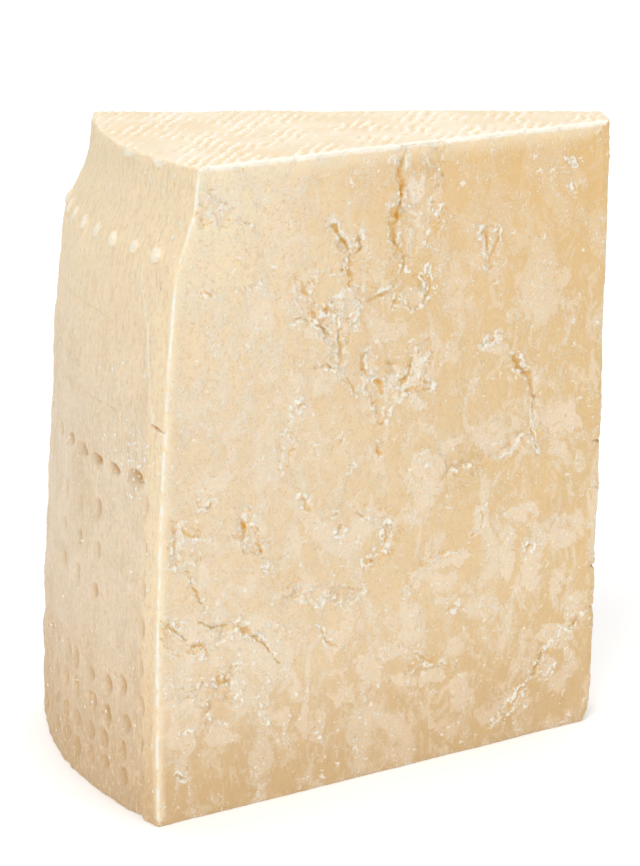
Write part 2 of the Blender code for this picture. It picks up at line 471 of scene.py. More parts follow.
FRONT_SCARS = (
    Scar(((58.6, 144.6), (71, 145), (70.6, 138), (67.8, 131), (64.6, 124.6), (61.6, 119.6),
          (59, 121.6), (58.4, 128), (60, 134)), 0.37, 0.9),
    Scar(((44, 130), (46.2, 125), (49.4, 124), (50.2, 127), (50.2, 122.4), (48.2, 119), (43.6, 119.4),
          (46, 122.4)), 0.41, 0.5),
    Scar(((60.2, 116.4), (63.6, 117), (67.6, 115.6), (68.8, 112), (67, 109.4), (62, 109.4),
          (60.6, 112)), 0.3, 1.0),
    Scar(((35, 119), (38, 118.4), (39.6, 113), (37.6, 111.2), (35.6, 114)), 0.19, 1.0),
    Scar(((40.4, 109.6), (43.6, 112.2), (48.6, 113.4), (49.6, 108.4), (46.6, 105), (46.2, 99.6),
          (44, 103), (42.6, 105)), 0.26, 1.2),
    Scar(((39.4, 99.2), (43, 98.2), (46.8, 97), (46.6, 101.8), (45.4, 102), (44, 100)), 0.41, 0.4),
    Scar(((50.6, 100.6), (53, 101.2), (56, 98.2), (60, 97), (59.4, 91), (57.6, 86), (56, 83.6),
          (54, 88), (52, 93)), 0.33, 1.2),
    Scar(((60.2, 92), (61.4, 96.8), (64, 100.4), (68.6, 101.6), (69.2, 98), (67, 93.6), (69, 92),
          (68.8, 90), (61, 90)), 0.37, 1.0),
    Scar(((80, 125), (84.6, 124.6), (85.4, 120), (83.4, 116), (81.4, 118)), 0.26, 0.8),
    Scar(((12.6, 138), (15.6, 139.4), (19.6, 136.6), (20, 132.8), (13, 132.9), (11.8, 135)), 0.17, 1.0),
    Scar(((4.6, 69.4), (8.6, 68.6), (12, 65), (11.6, 60.4), (4, 60.2)), 0.17, 1.0),
    Scar(((20.2, 69.4), (23.2, 69), (24.4, 65), (25.4, 62), (27, 57), (24.4, 58), (21.4, 61.4),
          (19.6, 65)), 0.33, 0.8),
    Scar(((1, 48.4), (4.6, 46.6), (9, 42.6), (13, 39.6), (12.8, 37), (8, 40), (3, 40.4),
          (1, 43)), 0.19, 1.0),
    Scar(((14, 44.6), (20.4, 45.4), (20, 43.2), (16.4, 41.8)), 0.3, 1.0),
    Scar(((7, 31.6), (12, 31), (19.4, 33.4), (19.4, 27), (12.6, 26.2), (8.4, 28)), 0.22, 1.6),
    Scar(((33.8, 48.6), (37, 48.8), (41.4, 47.4), (50.6, 46), (49.6, 43.6), (45, 45), (41, 45.8),
          (35, 46.8)), 0.3, 0.9),
)
FRONT_LEDGES = (
    Ledge(((95.2, 76.8), (92.4, 75), (90, 73), (88, 71.4), (85.4, 71), (83, 71.6), (80.4, 71.9),
           (78, 70.1), (75, 70.3), (73.4, 69.3), (71, 69.2)), 1.0, 4.0),
    Ledge(((50, 122), (50, 112), (55, 113), (59.4, 116), (61, 120)), 0.35, 3.0),
    Ledge(((50.2, 65.6), (52.6, 64), (55.6, 62.4), (58.4, 60.4), (59, 58), (57.4, 55.8), (53.6, 53),
           (51.4, 51), (50, 49)), 0.45, 3.0),
    Ledge(((31, 47.6), (33, 48.2), (35, 49.2), (37, 48.8)), 0.5, 2.0),
    Ledge(((112, 31.4), (107, 28), (101, 22), (97, 15.4), (93, 9.6), (86, 5), (83, 4)), 0.45, 5.0),
    Ledge(((34, 90.4), (31.6, 87), (32, 82), (31, 78), (33, 73)), 0.3, 2.5),
    Ledge(((62, 20), (66, 24), (70.6, 23.4), (75, 21)), 0.3, 2.5),
    Ledge(((63, 43.6), (66, 46.6), (71, 48.8), (79, 49.8)), 0.35, 2.5),
    Ledge(((71, 133), (69, 130), (66.4, 125), (64, 121)), 0.3, 3.0),
)
# Paler patches of the front cut, where the paste dried first.
FRONT_BLOOMS = (
    Bloom((43, 107.5), 5.5, 3.6), Bloom((47.5, 112), 2.6, 3.4, 0.9), Bloom((66.3, 95.6), 1.7, 4.2, 1.0),
    Bloom((54, 96.6), 2.2, 2.2, 1.0), Bloom((65.5, 87.5), 2.4, 2.4), Bloom((34.6, 90), 2.4, 2.4),
    Bloom((33.6, 84), 2.0, 4.0), Bloom((35.2, 97), 1.0, 1.0, 1.0), Bloom((14, 76.8), 4.2, 2.6),
    Bloom((24.4, 66), 1.8, 3.0, 1.0), Bloom((8, 64), 3.0, 1.6), Bloom((18.4, 41.4), 2.4, 2.0),
    Bloom((26, 43), 3.4, 1.6), Bloom((10, 29), 2.4, 2.2, 0.9), Bloom((25.8, 23), 1.0, 4.4, 0.9),
    Bloom((4.6, 24), 1.2, 7.0, 0.6), Bloom((20.6, 27), 1.6, 5.0, 0.9), Bloom((37, 20), 1.4, 6.0, 0.7),
    Bloom((28, 30), 1.8, 4.0, 0.9), Bloom((49, 10.6), 1.6, 3.4, 0.6), Bloom((12, 40.6), 3.4, 1.6, 0.9),
    Bloom((22, 40), 3.0, 3.0, 0.8), Bloom((30, 38), 1.6, 3.4, 0.7), Bloom((58, 29), 3.0, 2.0, 0.7),
    Bloom((51, 27), 2.2, 3.4, 0.5), Bloom((7, 17), 1.6, 6.0, 0.7), Bloom((15, 19), 3.0, 3.6, 0.6),
    Bloom((31.6, 17), 1.3, 5.0, 0.8),
    Bloom((40.6, 14.6), 1.6, 5.0, 0.9), Bloom((34, 26), 1.2, 4.0, 0.6), Bloom((47, 20), 3.0, 2.4, 0.5),
    Bloom((54, 15.4), 3.6, 2.4, 0.8), Bloom((62, 22), 3.6, 1.8, 0.9), Bloom((70, 21), 4.0, 2.6, 0.6),
    Bloom((78, 14), 4.4, 3.4, 0.5), Bloom((64, 35), 2.2, 5.0, 0.8), Bloom((66, 46), 2.8, 2.0, 0.9),
    Bloom((75, 48.6), 5.0, 1.6, 0.7), Bloom((43.6, 35), 3.4, 2.8, 0.6), Bloom((39, 46.4), 4.6, 1.6, 0.7),
    Bloom((55, 59), 3.2, 2.6, 0.5), Bloom((36.6, 68), 3.0, 2.2, 0.5), Bloom((66.6, 73), 2.6, 2.2, 0.9),
    Bloom((75, 76), 3.6, 2.4, 0.5), Bloom((82, 57), 1.8, 3.0, 0.7), Bloom((94, 57), 5.0, 2.0, 0.7),
    Bloom((89.6, 47), 2.2, 7.0, 0.6), Bloom((96, 42), 3.0, 5.0, 0.6), Bloom((105, 48), 4.4, 2.6, 0.6),
    Bloom((104, 36), 1.6, 6.0, 0.5), Bloom((106.6, 78), 2.4, 4.4, 0.7), Bloom((98, 81), 1.8, 3.0, 0.5),
    Bloom((104, 24), 5.0, 3.0, 0.9), Bloom((101, 16), 3.4, 2.4, 0.8), Bloom((94, 9), 3.4, 2.4, 1.0),
    Bloom((87, 8), 4.4, 2.0, 0.7), Bloom((83, 120), 2.4, 4.6, 0.7), Bloom((96.6, 119), 1.4, 4.0, 0.7),
    Bloom((104.6, 132), 1.8, 4.0, 0.7), Bloom((64.6, 130), 3.4, 9.0, 0.7),
    Bloom((69, 134), 1.4, 6.0, 0.8),
    Bloom((58, 104), 4.4, 3.4, 0.5), Bloom((37, 116), 2.2, 4.0, 0.8), Bloom((16, 136), 3.6, 2.6, 0.9),
    Bloom((13.6, 118), 2.2, 2.2, 0.7), Bloom((24, 118), 2.8, 1.4, 0.6), Bloom((20, 106), 2.4, 3.4, 0.4),
    Bloom((27, 128), 3.0, 4.0, 0.3), Bloom((64, 112), 3.0, 2.4, 0.7), Bloom((49, 88), 3.0, 2.0, 0.3),
    Bloom((76, 104), 2.2, 2.8, 0.5), Bloom((84, 97), 4.0, 1.8, 0.6), Bloom((102.4, 110), 2.0, 3.0, 0.6),
)


@dataclass
class CutSurface:
    """A knife cut through the paste: almost flat, with torn and crumbled places."""

    seed: int
    flaws: tuple[Flaw, ...]
    blooms: tuple[Bloom, ...] = ()
    ragged: float = 0.95  # how far outlines wander from their drawn line
    swell: float = 0.2  # how far the whole cut is from flat
    flake_step: float = 0.12  # the height of the thin flakes that cover the cut
    crumbly: float = 0.3  # how much of the cut is crumbled where nothing is drawn

    def worked(self, p: Array, q: Array) -> Relief:
        """The surface at points on the cut.

        Args:
            p: the distance along the cut.
            q: the height, or the second distance on a level cut.

        Returns:
            The relief there.
        """
        grain = Grain(self.seed)
        place = np.stack([p, q, np.zeros_like(p)], axis=1)
        flat = place[:, :2]
        wander = np.stack([grain.layers(place + 7, 5.2, 4), grain.layers(place + 53, 5.2, 4)], axis=1)
        points = flat + self.ragged * wander
        jag = np.stack([grain.layers(place + 23, 1.5, 2), grain.layers(place + 29, 1.5, 2)], axis=1)
        points = points + 0.4 * jag
        facets = grain.grains(flat + 0.5 * wander + 0.3 * jag, 1.5)[1]
        lots = np.clip(0.6 * facets + 0.2 + 0.7 * grain.layers(place + 11, 2.4, 3), 0, 1)
        fields = blank(len(p))
        height = np.zeros(len(p))
        for flaw in self.flaws:
            drawn = flaw.places()
            near = ((points > drawn.min(axis=0) - 9) & (points < drawn.max(axis=0) + 9)).all(axis=1)
            moved, reached = flaw.work(points[near], lots[near])
            known = fields[flaw.writes]
            known[near] = np.maximum(known[near], reached)
            height[near] = np.minimum(height[near], moved)
        for bloom in self.blooms:
            fields["milk"] = np.maximum(fields["milk"], bloom.share(flat + 2 * self.ragged * wander))
        height += self.swell * grain.layers(place, 34, 2)
        height += self._crumbled(grain, place, fields)
        return Relief(height, fields)

    def _crumbled(self, grain: Grain, place: Array, fields: dict[str, Array]) -> Array:
        """Covers the cut with thin flakes and loose crumbs.

        Args:
            grain: the cut's noise.
            place: the points, with three coordinates.
            fields: what the flaws do there; the flakes and the crumbs are added.

        Returns:
            How high the flakes and the crumbs stand.
        """
        rim = np.maximum(np.exp(-(((fields["rift"] + 0.5) / 0.7) ** 2)), fields["lip"])
        rim = np.maximum(rim, 0.8 * np.exp(-(((fields["torn"] + 0.2) / 1.0) ** 2)))
        rim *= eased(grain.layers(place + 300, 4.5, 3) * 1.4 + 0.45)
        rim = np.maximum(rim, 0.6 * fields["milk"])
        patches = grain.layers(place * (1.0, 0.75, 1.0) + 200, 15, 3) * 1.5 - 0.3
        loose = np.clip(np.maximum(rim, self.crumbly * eased(patches)), 0, 1)
        bent = np.stack([grain.layers(place + 400, 1.3, 2), grain.layers(place + 450, 1.3, 2)], axis=1)
        bent = place[:, :2] + 0.45 * bent
        away, lot = grain.grains(bent * (1.15, 0.85), 1.35)
        small_away, small_lot = grain.grains(bent + 17, 0.85)
        lump = np.sqrt(np.clip(1 - (away / (0.35 + 0.3 * lot)) ** 2, 0, 1)) * (lot < loose * 0.8)
        bead = np.sqrt(np.clip(1 - (small_away / 0.42) ** 2, 0, 1)) * (small_lot < loose * 0.6)
        fields["crumb"] = np.clip((lump + 0.8 * bead) * (0.1 + 1.1 * loose), 0, 1)
        fields["flake"] = grain.layers(place * (1.2, 0.8, 1.0) + 90, 12, 2) * 1.6
        steps = fields["flake"]
        flakes = self.flake_step * (np.floor(steps) + eased((steps % 1) * 4))
        return flakes + 0.26 * lump * (0.4 + loose) + 0.14 * bead


@dataclass
class MouldedRind:
    """The wheel's side, pressed in a cloth-lined mould with rows of pins."""

    seed: int
    around: float = 74.0  # how far round from the front cut the marks go
    bump_row: float = 126.5  # the height of the row of raised pin marks
    bump_first: float = 7.5
    bump_pitch: float = 9.0
    bump_radius: float = 1.7
    bump_height: float = 0.9
    strip: float = 4.9  # the width of the proud strip beside the front cut
    strip_step: float = 1.1
    # The pressed-in marks are plain: one row of wide dashes, rows and columns of dimples under
    # it, and a line of tall ones along the proud strip.
    dash_row: float = 77.5
    dash_first: float = 11.0
    dash_pitch: float = 8.0
    high_rows: tuple[float, ...] = (66.0, 57.0, 48.0)
    high_columns: tuple[float, ...] = (26.0, 34.0, 44.0)
    low_rows: tuple[float, ...] = (28.0, 21.0, 14.0, 7.0)
    low_first: float = 13.0
    low_pitch: float = 7.0
    stray: float = 1.0  # how far a dimple may be off its place
    strip_line: float = 5.8
    strip_pitch: float = 9.0
    crease: tuple[Place, ...] = ((11.4, 124), (10.6, 119), (9.4, 115.6), (7.2, 111), (6.6, 104),
                                 (5.4, 95), (3.6, 90))
    split: tuple[Place, ...] = ((-1, 89.8), (2, 90.2), (4.6, 90.7))
    # Where the lining cloth lay folded: the height, where the fold starts, and its drop.
    folds: tuple[tuple[float, float, float], ...] = ((110.2, 26, 0.35), (97, 30, 0.3), (91, 18, 0.4))
    # Dustings of dry crumbs: the middle, and how far each spreads both ways.
    dustings: tuple[tuple[Place, Place], ...] = (((10, 83), (7, 4.5)), ((10, 76), (4, 2.5)))
    lip_height: float = 142.6  # above it the rind is turned out a little
    torn_lips: tuple[Place, ...] = ((14, 2.6), (28, 3.0))  # the middle and the half width of each

    def bumps(self) -> list[Place]:
        """The centres of the raised marks, in one row."""
        return [(s, self.bump_row) for s in np.arange(self.bump_first, self.around, self.bump_pitch)]

    def dimples(self) -> list[tuple[float, float, float, float, float]]:
        """Lays the pressed-in marks out.

        Returns:
            Each mark's centre, half width, half height and depth.
        """
        draw = np.random.default_rng(self.seed)
        marks = []
        for s in np.arange(self.dash_first, self.around, self.dash_pitch):
            size = draw.uniform((2.8, 1.4, 0.7), (4.2, 2.2, 1.3))
            marks.append((s, self.dash_row, *size))
        low_columns = np.arange(self.low_first, self.around, self.low_pitch)
        for z, s in product(self.low_rows, low_columns):
            shift = draw.uniform(-self.stray, self.stray, 2)
            size = draw.uniform((1.7, 1.8, 0.7), (2.6, 3.4, 1.5))
            marks.append((s + shift[0], z + shift[1], *size))
        for z, s in product(self.high_rows, self.high_columns):
            shift = draw.uniform(-self.stray, self.stray, 2)
            size = draw.uniform((1.8, 2.4, 0.5), (2.4, 3.4, 0.9))
            marks.append((s + shift[0], z + shift[1], *size))
        for z in np.arange(self.strip_pitch, self.dash_row, self.strip_pitch):
            size = draw.uniform((1.2, 3.0, 0.5), (1.8, 4.4, 1.1))
            marks.append((self.strip_line, z, *size))
        return marks

    def worked(self, p: Array, q: Array) -> Relief:
        """The surface at points on the rind.

        Args:
            p: the distance round the rind from the front cut.
            q: the height.

        Returns:
            The relief there.
        """
        grain = Grain(self.seed)
        place = np.stack([p, q, np.zeros_like(p)], axis=1)
        lots = np.clip(0.5 + 0.8 * grain.layers(place + 11, 1.6, 3), 0, 1)
        wander = np.stack([grain.layers(place + 7, 5, 3), grain.layers(place + 53, 5, 3)], axis=1)
        points = place[:, :2] + 0.4 * wander
        upright = place / np.array([1.0, 6.0, 1.0])
        fields = blank(len(p))
        height = 0.45 * grain.layers(place, 12, 4) + 0.22 * grain.layers(upright + 3, 3.2, 2)
        fades = eased((96 - q) / 14)
        height -= self.strip_step * eased((points[:, 0] - self.strip) / 1.6) * (0.25 + 0.75 * fades)
        for fold_height, start, drop in self.folds:
            below = fold_height - points[:, 1]
            step = eased((below + 0.3) / 0.6) * np.exp(-np.maximum(below, 0) / 3.2)
            span = eased((p - start + 6) / 8) * (0.4 + 0.6 * lots)
            height -= drop * step * span
            # a dark line along the fold, for painted shade in its crease
            fields["sunk"] = np.maximum(fields["sunk"], 0.5 * np.exp(-((below / 0.5) ** 2)) * span)
        for s, z, half_width, half_height, depth in self.dimples():
            rel = (points - (s, z)) / (half_width, half_height)
            away = np.hypot(*rel.T)
            lean = np.clip(0.55 - 0.5 * rel[:, 0] + 0.3 * rel[:, 1], 0, 1)
            pressed = eased((1.05 - away) / 0.5) * lean
            height -= 1.5 * depth * pressed
            # sunk is painted shade on each dimple's deep side
            fields["sunk"] = np.maximum(fields["sunk"], min(0.5 + 0.5 * depth, 1.15) * pressed**1.3)
            # milk on the rim across from the deep side is a painted highlight
            far = np.exp(-(((away - 0.95) / 0.4) ** 2)) * np.clip(rel[:, 0] - 0.3 * rel[:, 1], 0, 1)
            fields["milk"] = np.maximum(fields["milk"], 0.45 * far)
        for s, z in self.bumps():
            away = np.hypot(points[:, 0] - s, (points[:, 1] - z)) / self.bump_radius
            height += self.bump_height * np.sqrt(np.clip(1 - away**2, 0, 1))
            fields["milk"] = np.maximum(fields["milk"], eased((1.1 - away) / 0.4))
        height += self._edged(grain, place, points, lots, fields)
        return Relief(height, fields)

    def _edged(
        self, grain: Grain, place: Array, points: Array, lots: Array, fields: dict[str, Array]
    ) -> Array:
        """Adds the crease, the split, the crumbs and the torn lip under the top.

        Args:
            grain: the rind's noise.
            place: the points, with three coordinates.
            points: the same points, strayed a little from their places.
            lots: a number from 0 to 1 for each point.
            fields: what the marks do there; these four are added.

        Returns:
            How high they stand.
        """
        p, q = points.T
        ridge = beside(points, np.array(self.crease)).away
        height = 0.28 * np.exp(-((ridge / 0.5) ** 2))
        fields["lip"] = np.maximum(fields["lip"], 0.55 - ridge)
        gap = beside(points, np.array(self.split)).away
        height -= 0.6 * np.clip(1 - gap / 0.4, 0, 1) ** 0.7
        fields["rift"] = np.maximum(fields["rift"], 0.3 - gap)
        away, lot = grain.grains(points, 1.1)
        dusty = np.zeros_like(p)
        for (s, z), (width, height_reach) in self.dustings:
            dusty = np.maximum(dusty, np.exp(-(((p - s) / width) ** 2) - ((q - z) / height_reach) ** 2))
        bead = np.sqrt(np.clip(1 - (away / 0.4) ** 2, 0, 1)) * (lot < 0.6 * dusty + 0.012)
        lip = q - self.lip_height + 0.9 * grain.layers(place + 9, 9, 2)
        torn = sum(np.exp(-(((p - s) / width) ** 2)) for s, width in self.torn_lips)
        height += 0.2 * bead + eased(lip / 1.2) * (0.1 + 0.8 * torn * lots)
        fields["crumb"] = np.maximum(fields["crumb"], bead)
        fields["lip"] = np.maximum(fields["lip"], np.minimum(lip - 1.9 + 1.8 * torn, 1))
        return height


@dataclass
class ClothPrint:
    """The wheel's flat top, which keeps the print of the cloth that it was pressed in."""

    seed: int
    pitch: float = 2.45  # between the print's ridges
    bearing: float = 62.0  # the ridges' direction, in degrees from the rind-to-tip line
    ridge: float = 0.13
    cross: float = 0.12
    specks: tuple[Place, ...] = ((-14.7, -3.4), (-34.8, 2.3), (9.6, -8.0), (-12.0, 18.4))

    def worked(self, p: Array, q: Array) -> Relief:
        """The surface at points on the top.

        Args:
            p: the distance along the wedge.
            q: the distance across it.

        Returns:
            The relief there.
        """
        grain = Grain(self.seed)
        place = np.stack([p, q, np.zeros_like(p)], axis=1)
        fields = blank(len(p))
        turn = math.radians(self.bearing)
        bend = 0.7 * grain.layers(place, 5, 3)
        across = -p * math.sin(turn) + q * math.cos(turn) + bend
        along = p * math.cos(turn) + q * math.sin(turn) + bend
        ridges = np.sin(2 * math.pi * across / self.pitch)
        knots = np.sin(2 * math.pi * (along / (1.15 * self.pitch) + 0.5 * (ridges > 0)))
        patchy = np.clip(0.7 + 0.7 * grain.layers(place + 70, 9, 4), 0.15, 1.3)
        height = (self.ridge * ridges + self.cross * knots * (0.5 + 0.5 * ridges)) * patchy
        height += 0.2 * grain.layers(place + 31, 22, 2)
        fields["sunk"] = eased(-ridges * 0.6 * patchy + 0.35 * grain.layers(place + 17, 2.2, 2))
        fields["milk"] = np.clip(ridges * patchy, 0, 1)
        for speck_p, speck_q in self.specks:
            away = np.hypot(p - speck_p, q - speck_q)
            height -= 0.5 * eased((0.8 - away) / 0.6)
            fields["rift"] = np.maximum(fields["rift"], 0.5 - away)
        return Relief(height, fields)


def drawn_flaws(seed: int, width: float, height: float, tears: int, scars: int) -> tuple[Flaw, ...]:
    """Makes up the flaws of a cut.

    Args:
        seed: for the draw.
        width: the cut's extent along its first direction.
        height: the cut's extent along its second direction.
        tears: how many splits to draw.
        scars: how many broken patches to draw.

    Returns:
        The flaws, with a few ledges among them.
    """
    draw = np.random.default_rng(seed)
    made: list[Flaw] = []
    hubs = draw.uniform((0.12, 0.1), (0.88, 0.9), (5, 2)) * (width, height)
    for number in range(tears):
        hub = hubs[number % len(hubs)]
        spot = hub + draw.normal(0, 0.13, 2) * (width, height)
        heading = draw.uniform(0, 2 * math.pi)
        path = [tuple(spot)]
        for _ in range(int(draw.integers(1, 5))):
            heading += draw.normal(0, 0.6)
            stride = draw.uniform(1.4, 3.6)
            spot = spot + stride * np.array([math.cos(heading), math.sin(heading)])
            path.append(tuple(spot))
        made.append(Tear(tuple(path), draw.uniform(0.35, 0.8), draw.uniform(0.5, 1.7)))
    for number in range(scars):
        hub = hubs[number % len(hubs)] + draw.normal(0, 0.12, 2) * (width, height)
        size = draw.uniform(2.0, 6.0)
        turns = np.linspace(0, 2 * math.pi, 9)[:-1]
        radii = size * draw.uniform(0.55, 1.1, len(turns)) * (1, 1.3)[number % 2]
        outline = [(hub[0] + r * math.cos(t), hub[1] + r * math.sin(t)) for r, t in zip(radii, turns)]
        made.append(Scar(tuple(outline), draw.uniform(0.3, 1.0), draw.uniform(0.6, 1.4)))
        bow = [(x + 0.4, y) for x, y in outline[: 4 + number % 3]]
        made.append(Ledge(tuple(bow), draw.uniform(0.2, 0.7), 3.0))
    return tuple(made)


@dataclass
class WedgeForm:
    """The wedge's plain form: the sizes that the CAD model has, and where its surfaces lie."""

    height: float
    cut_angle: float = 28.92  # degrees between the two cuts
    front_rind: float = 138.5  # from the line where the cuts would meet, along the front cut
    back_rind: float = 153.3
    front_tip: float = 24.0
    back_tip: float = 21.6
    rind_radius: float = 99.2  # in plan, at the foot
    barrel_radius: float = 1200.0  # in side view
    hoop_step: float = 3.0  # how far the band at the rim is drawn in
    hoop_low: float = 121.0
    hoop_high: float = 138.0
    back_lean: float = 0.027  # how much more the rind leans in at the back cut
    back_hoop_step: float = 1.2
    corner_loss: tuple[float, float] = (2.4, 5.0)  # broken corner: along the cut, and up
    edge_round: float = 0.75
    foot_round: float = 0.35  # the foot's edges are fresh from the knife
    origin: Array = field(init=False)
    centre: Array = field(init=False)

    def __post_init__(self) -> None:
        """Works out the plan's corners and the rind's centre."""
        self.origin = np.zeros(2)
        self.centre = np.zeros(2)
        front, back = self.corner(-1, self.front_rind), self.corner(1, self.back_rind)
        chord = back - front
        reach = math.sqrt(self.rind_radius**2 - chord @ chord / 4)
        centre = (front + back) / 2 + np.array([chord[1], -chord[0]]) / np.hypot(*chord) * reach
        low = np.array([centre[0] - self.rind_radius, front[1]])
        tips = (self.corner(-1, self.front_tip)[0], self.corner(1, self.back_tip)[0])
        self.origin = (low + (max(tips), back[1])) / 2
        self.centre = centre - self.origin

    def direction(self, side: int) -> Array:
        """The way along a cut from the rind to the tip: -1 is the front cut, 1 the back."""
        half = math.radians(self.cut_angle) / 2
        return np.array([math.cos(half), -side * math.sin(half)])

    def inward(self, side: int) -> Array:
        """The way from a cut straight into the cheese."""
        along = self.direction(side)
        return -side * np.array([-along[1], along[0]])

    def corner(self, side: int, distance: float) -> Array:
        """A corner of the plan, from its distance to the line where the cuts would meet."""
        return -distance * self.direction(side) - self.origin

    def inset(self, z: Array) -> Array:
        """How far the rind stands inside its widest line."""
        hoop = eased((z - self.hoop_low) / (self.hoop_high - self.hoop_low))
        return z**2 / (2 * self.barrel_radius) + self.hoop_step * hoop

    def extra_lean(self, z: Array) -> Array:
        """How much further in the rind stands at the back cut."""
        hoop = eased((z - self.hoop_low) / (self.hoop_high - self.hoop_low))
        return self.back_lean * z + self.back_hoop_step * hoop

    def rind_ends(self, z: Array) -> tuple[Array, Array]:
        """Finds where the rind meets the two cuts.

        Args:
            z: heights above the foot.

        Returns:
            The bearings from the rind's centre, in radians, at the front cut and at the back.
        """
        found = []
        for side, distance, lean in ((-1, self.front_rind, 0.0), (1, self.back_rind, 1.0)):
            start, along = self.corner(side, distance), self.direction(side)
            radius = self.rind_radius - self.inset(z) - lean * self.extra_lean(z)
            rel = start - self.centre
            middle = rel @ along
            travel = -middle - np.sqrt(middle**2 - rel @ rel + radius**2)
            x, y = rel[0] + travel * along[0], rel[1] + travel * along[1]
            found.append(np.arctan2(y, x))
        front, back = found
        return front, front - (front - back) % (2 * math.pi)

    def bent(self, unit: Array) -> Array:
        """Bends a unit cube to the wedge.

        Args:
            unit: points of the cube: rind to tip, front to back, and foot to top, from 0 to 1.

        Returns:
            The same points on the wedge.
        """
        a, b, z = unit[:, 0], unit[:, 1], unit[:, 2] * self.height
        front, back = self.rind_ends(z)
        bearing = front + b * (back - front)
        radius = self.rind_radius - self.inset(z) - b * self.extra_lean(z)
        ring = self.centre + radius[:, None] * np.stack([np.cos(bearing), np.sin(bearing)], axis=1)
        near, far = self.corner(-1, self.front_tip), self.corner(1, self.back_tip)
        tip = near + b[:, None] * (far - near)
        flat = ring + a[:, None] * (tip - ring)
        return np.column_stack([flat, z])

    def seen_from(self, side: Side, places: Array) -> tuple[Array, Array, Array, Array]:
        """Measures points against one surface.

        Args:
            side: the surface.
            places: the points.

        Returns:
            The depth below the surface, two distances on it, and the outward directions.
        """
        flat, z = places[:, :2], places[:, 2]
        outward = np.zeros_like(places)
        if side in (Side.FRONT, Side.BACK):
            sign, distance = (-1, self.front_rind) if side is Side.FRONT else (1, self.back_rind)
            rel = flat - self.corner(sign, distance)
            outward[:, :2] = -self.inward(sign)
            return rel @ self.inward(sign), rel @ self.direction(sign), z, outward
        if side is Side.TIP:
            near, far = self.corner(-1, self.front_tip), self.corner(1, self.back_tip)
            along = (far - near) / np.hypot(*(far - near))
            away = np.array([along[1], -along[0]])
            outward[:, :2] = away
            return (near - flat) @ away, (flat - near) @ along, z, outward
        if side is Side.RIND:
            rel = flat - self.centre
            front, back = self.rind_ends(z)
            bearing = np.arctan2(rel[:, 1], rel[:, 0])
            share = ((front - bearing) % (2 * math.pi)) / (front - back)
            share = np.where(share > 3, share - 2 * math.pi / (front - back), share)
            reach = np.hypot(*rel.T)
            radius = self.rind_radius - self.inset(z) - share * self.extra_lean(z)
            outward[:, :2] = rel / np.maximum(reach, 1e-6)[:, None]
            return radius - reach, share * self.rind_length(), z, outward
        outward[:, 2] = 1 if side is Side.PLATE else -1
        depth = self.height - z if side is Side.PLATE else z
        return depth, flat[:, 0], flat[:, 1], outward

    def rind_length(self) -> float:
        """The distance round the rind at the foot, from cut to cut."""
        front, back = self.rind_ends(np.zeros(1))
        return float((front - back)[0] * self.rind_radius)

    def softened(self, places: Array) -> Array:
        """Rounds the edges between the surfaces, as handling wears them.

        Args:
            places: points of the sharp form.

        Returns:
            The points, with those beside an edge drawn in onto a round.
        """
        sides = [self.seen_from(side, places) for side in Side]
        owner = np.argmin([np.abs(s[0]) for s in sides], axis=0)
        moved = places.copy()
        chips = eased(Grain(9).layers(places, 5.5, 3) + 0.35)
        chipped = self.edge_round * (0.5 + 0.9 * chips)
        for own, other in product(range(len(sides)), repeat=2):
            if own == other:
                continue
            depth = sides[other][0]
            at_foot = Side.FOOT.value in (own, other)
            round_off = np.full_like(chipped, self.foot_round) if at_foot else chipped
            hit = (owner == own) & (depth < round_off)
            worn = round_off[hit]
            part = np.clip(depth[hit] / worn, 0, 1)
            turn = math.radians(45) * (1 - part)
            drop = worn * (1 - np.cos(turn))
            shift = worn * (1 - part - np.sin(turn))
            moved[hit] -= sides[own][3][hit] * drop[:, None] + sides[other][3][hit] * shift[:, None]
        return moved

    def without_corner(self, places: Array) -> Array:
        """Breaks the corner off at the tip's foot.

        Args:
            places: points of the whole form.

        Returns:
            The points, with those beyond the break moved back to it.
        """
        along, up = self.corner_loss
        tip = self.corner(-1, self.front_tip)
        way = self.direction(-1)
        slope = np.array([way[0] * up, way[1] * up, -along]) / math.hypot(along, up)
        start = np.array([*(tip - way * along), 0.0])
        beyond = np.maximum((places - start) @ slope, 0)
        return places - beyond[:, None] * slope


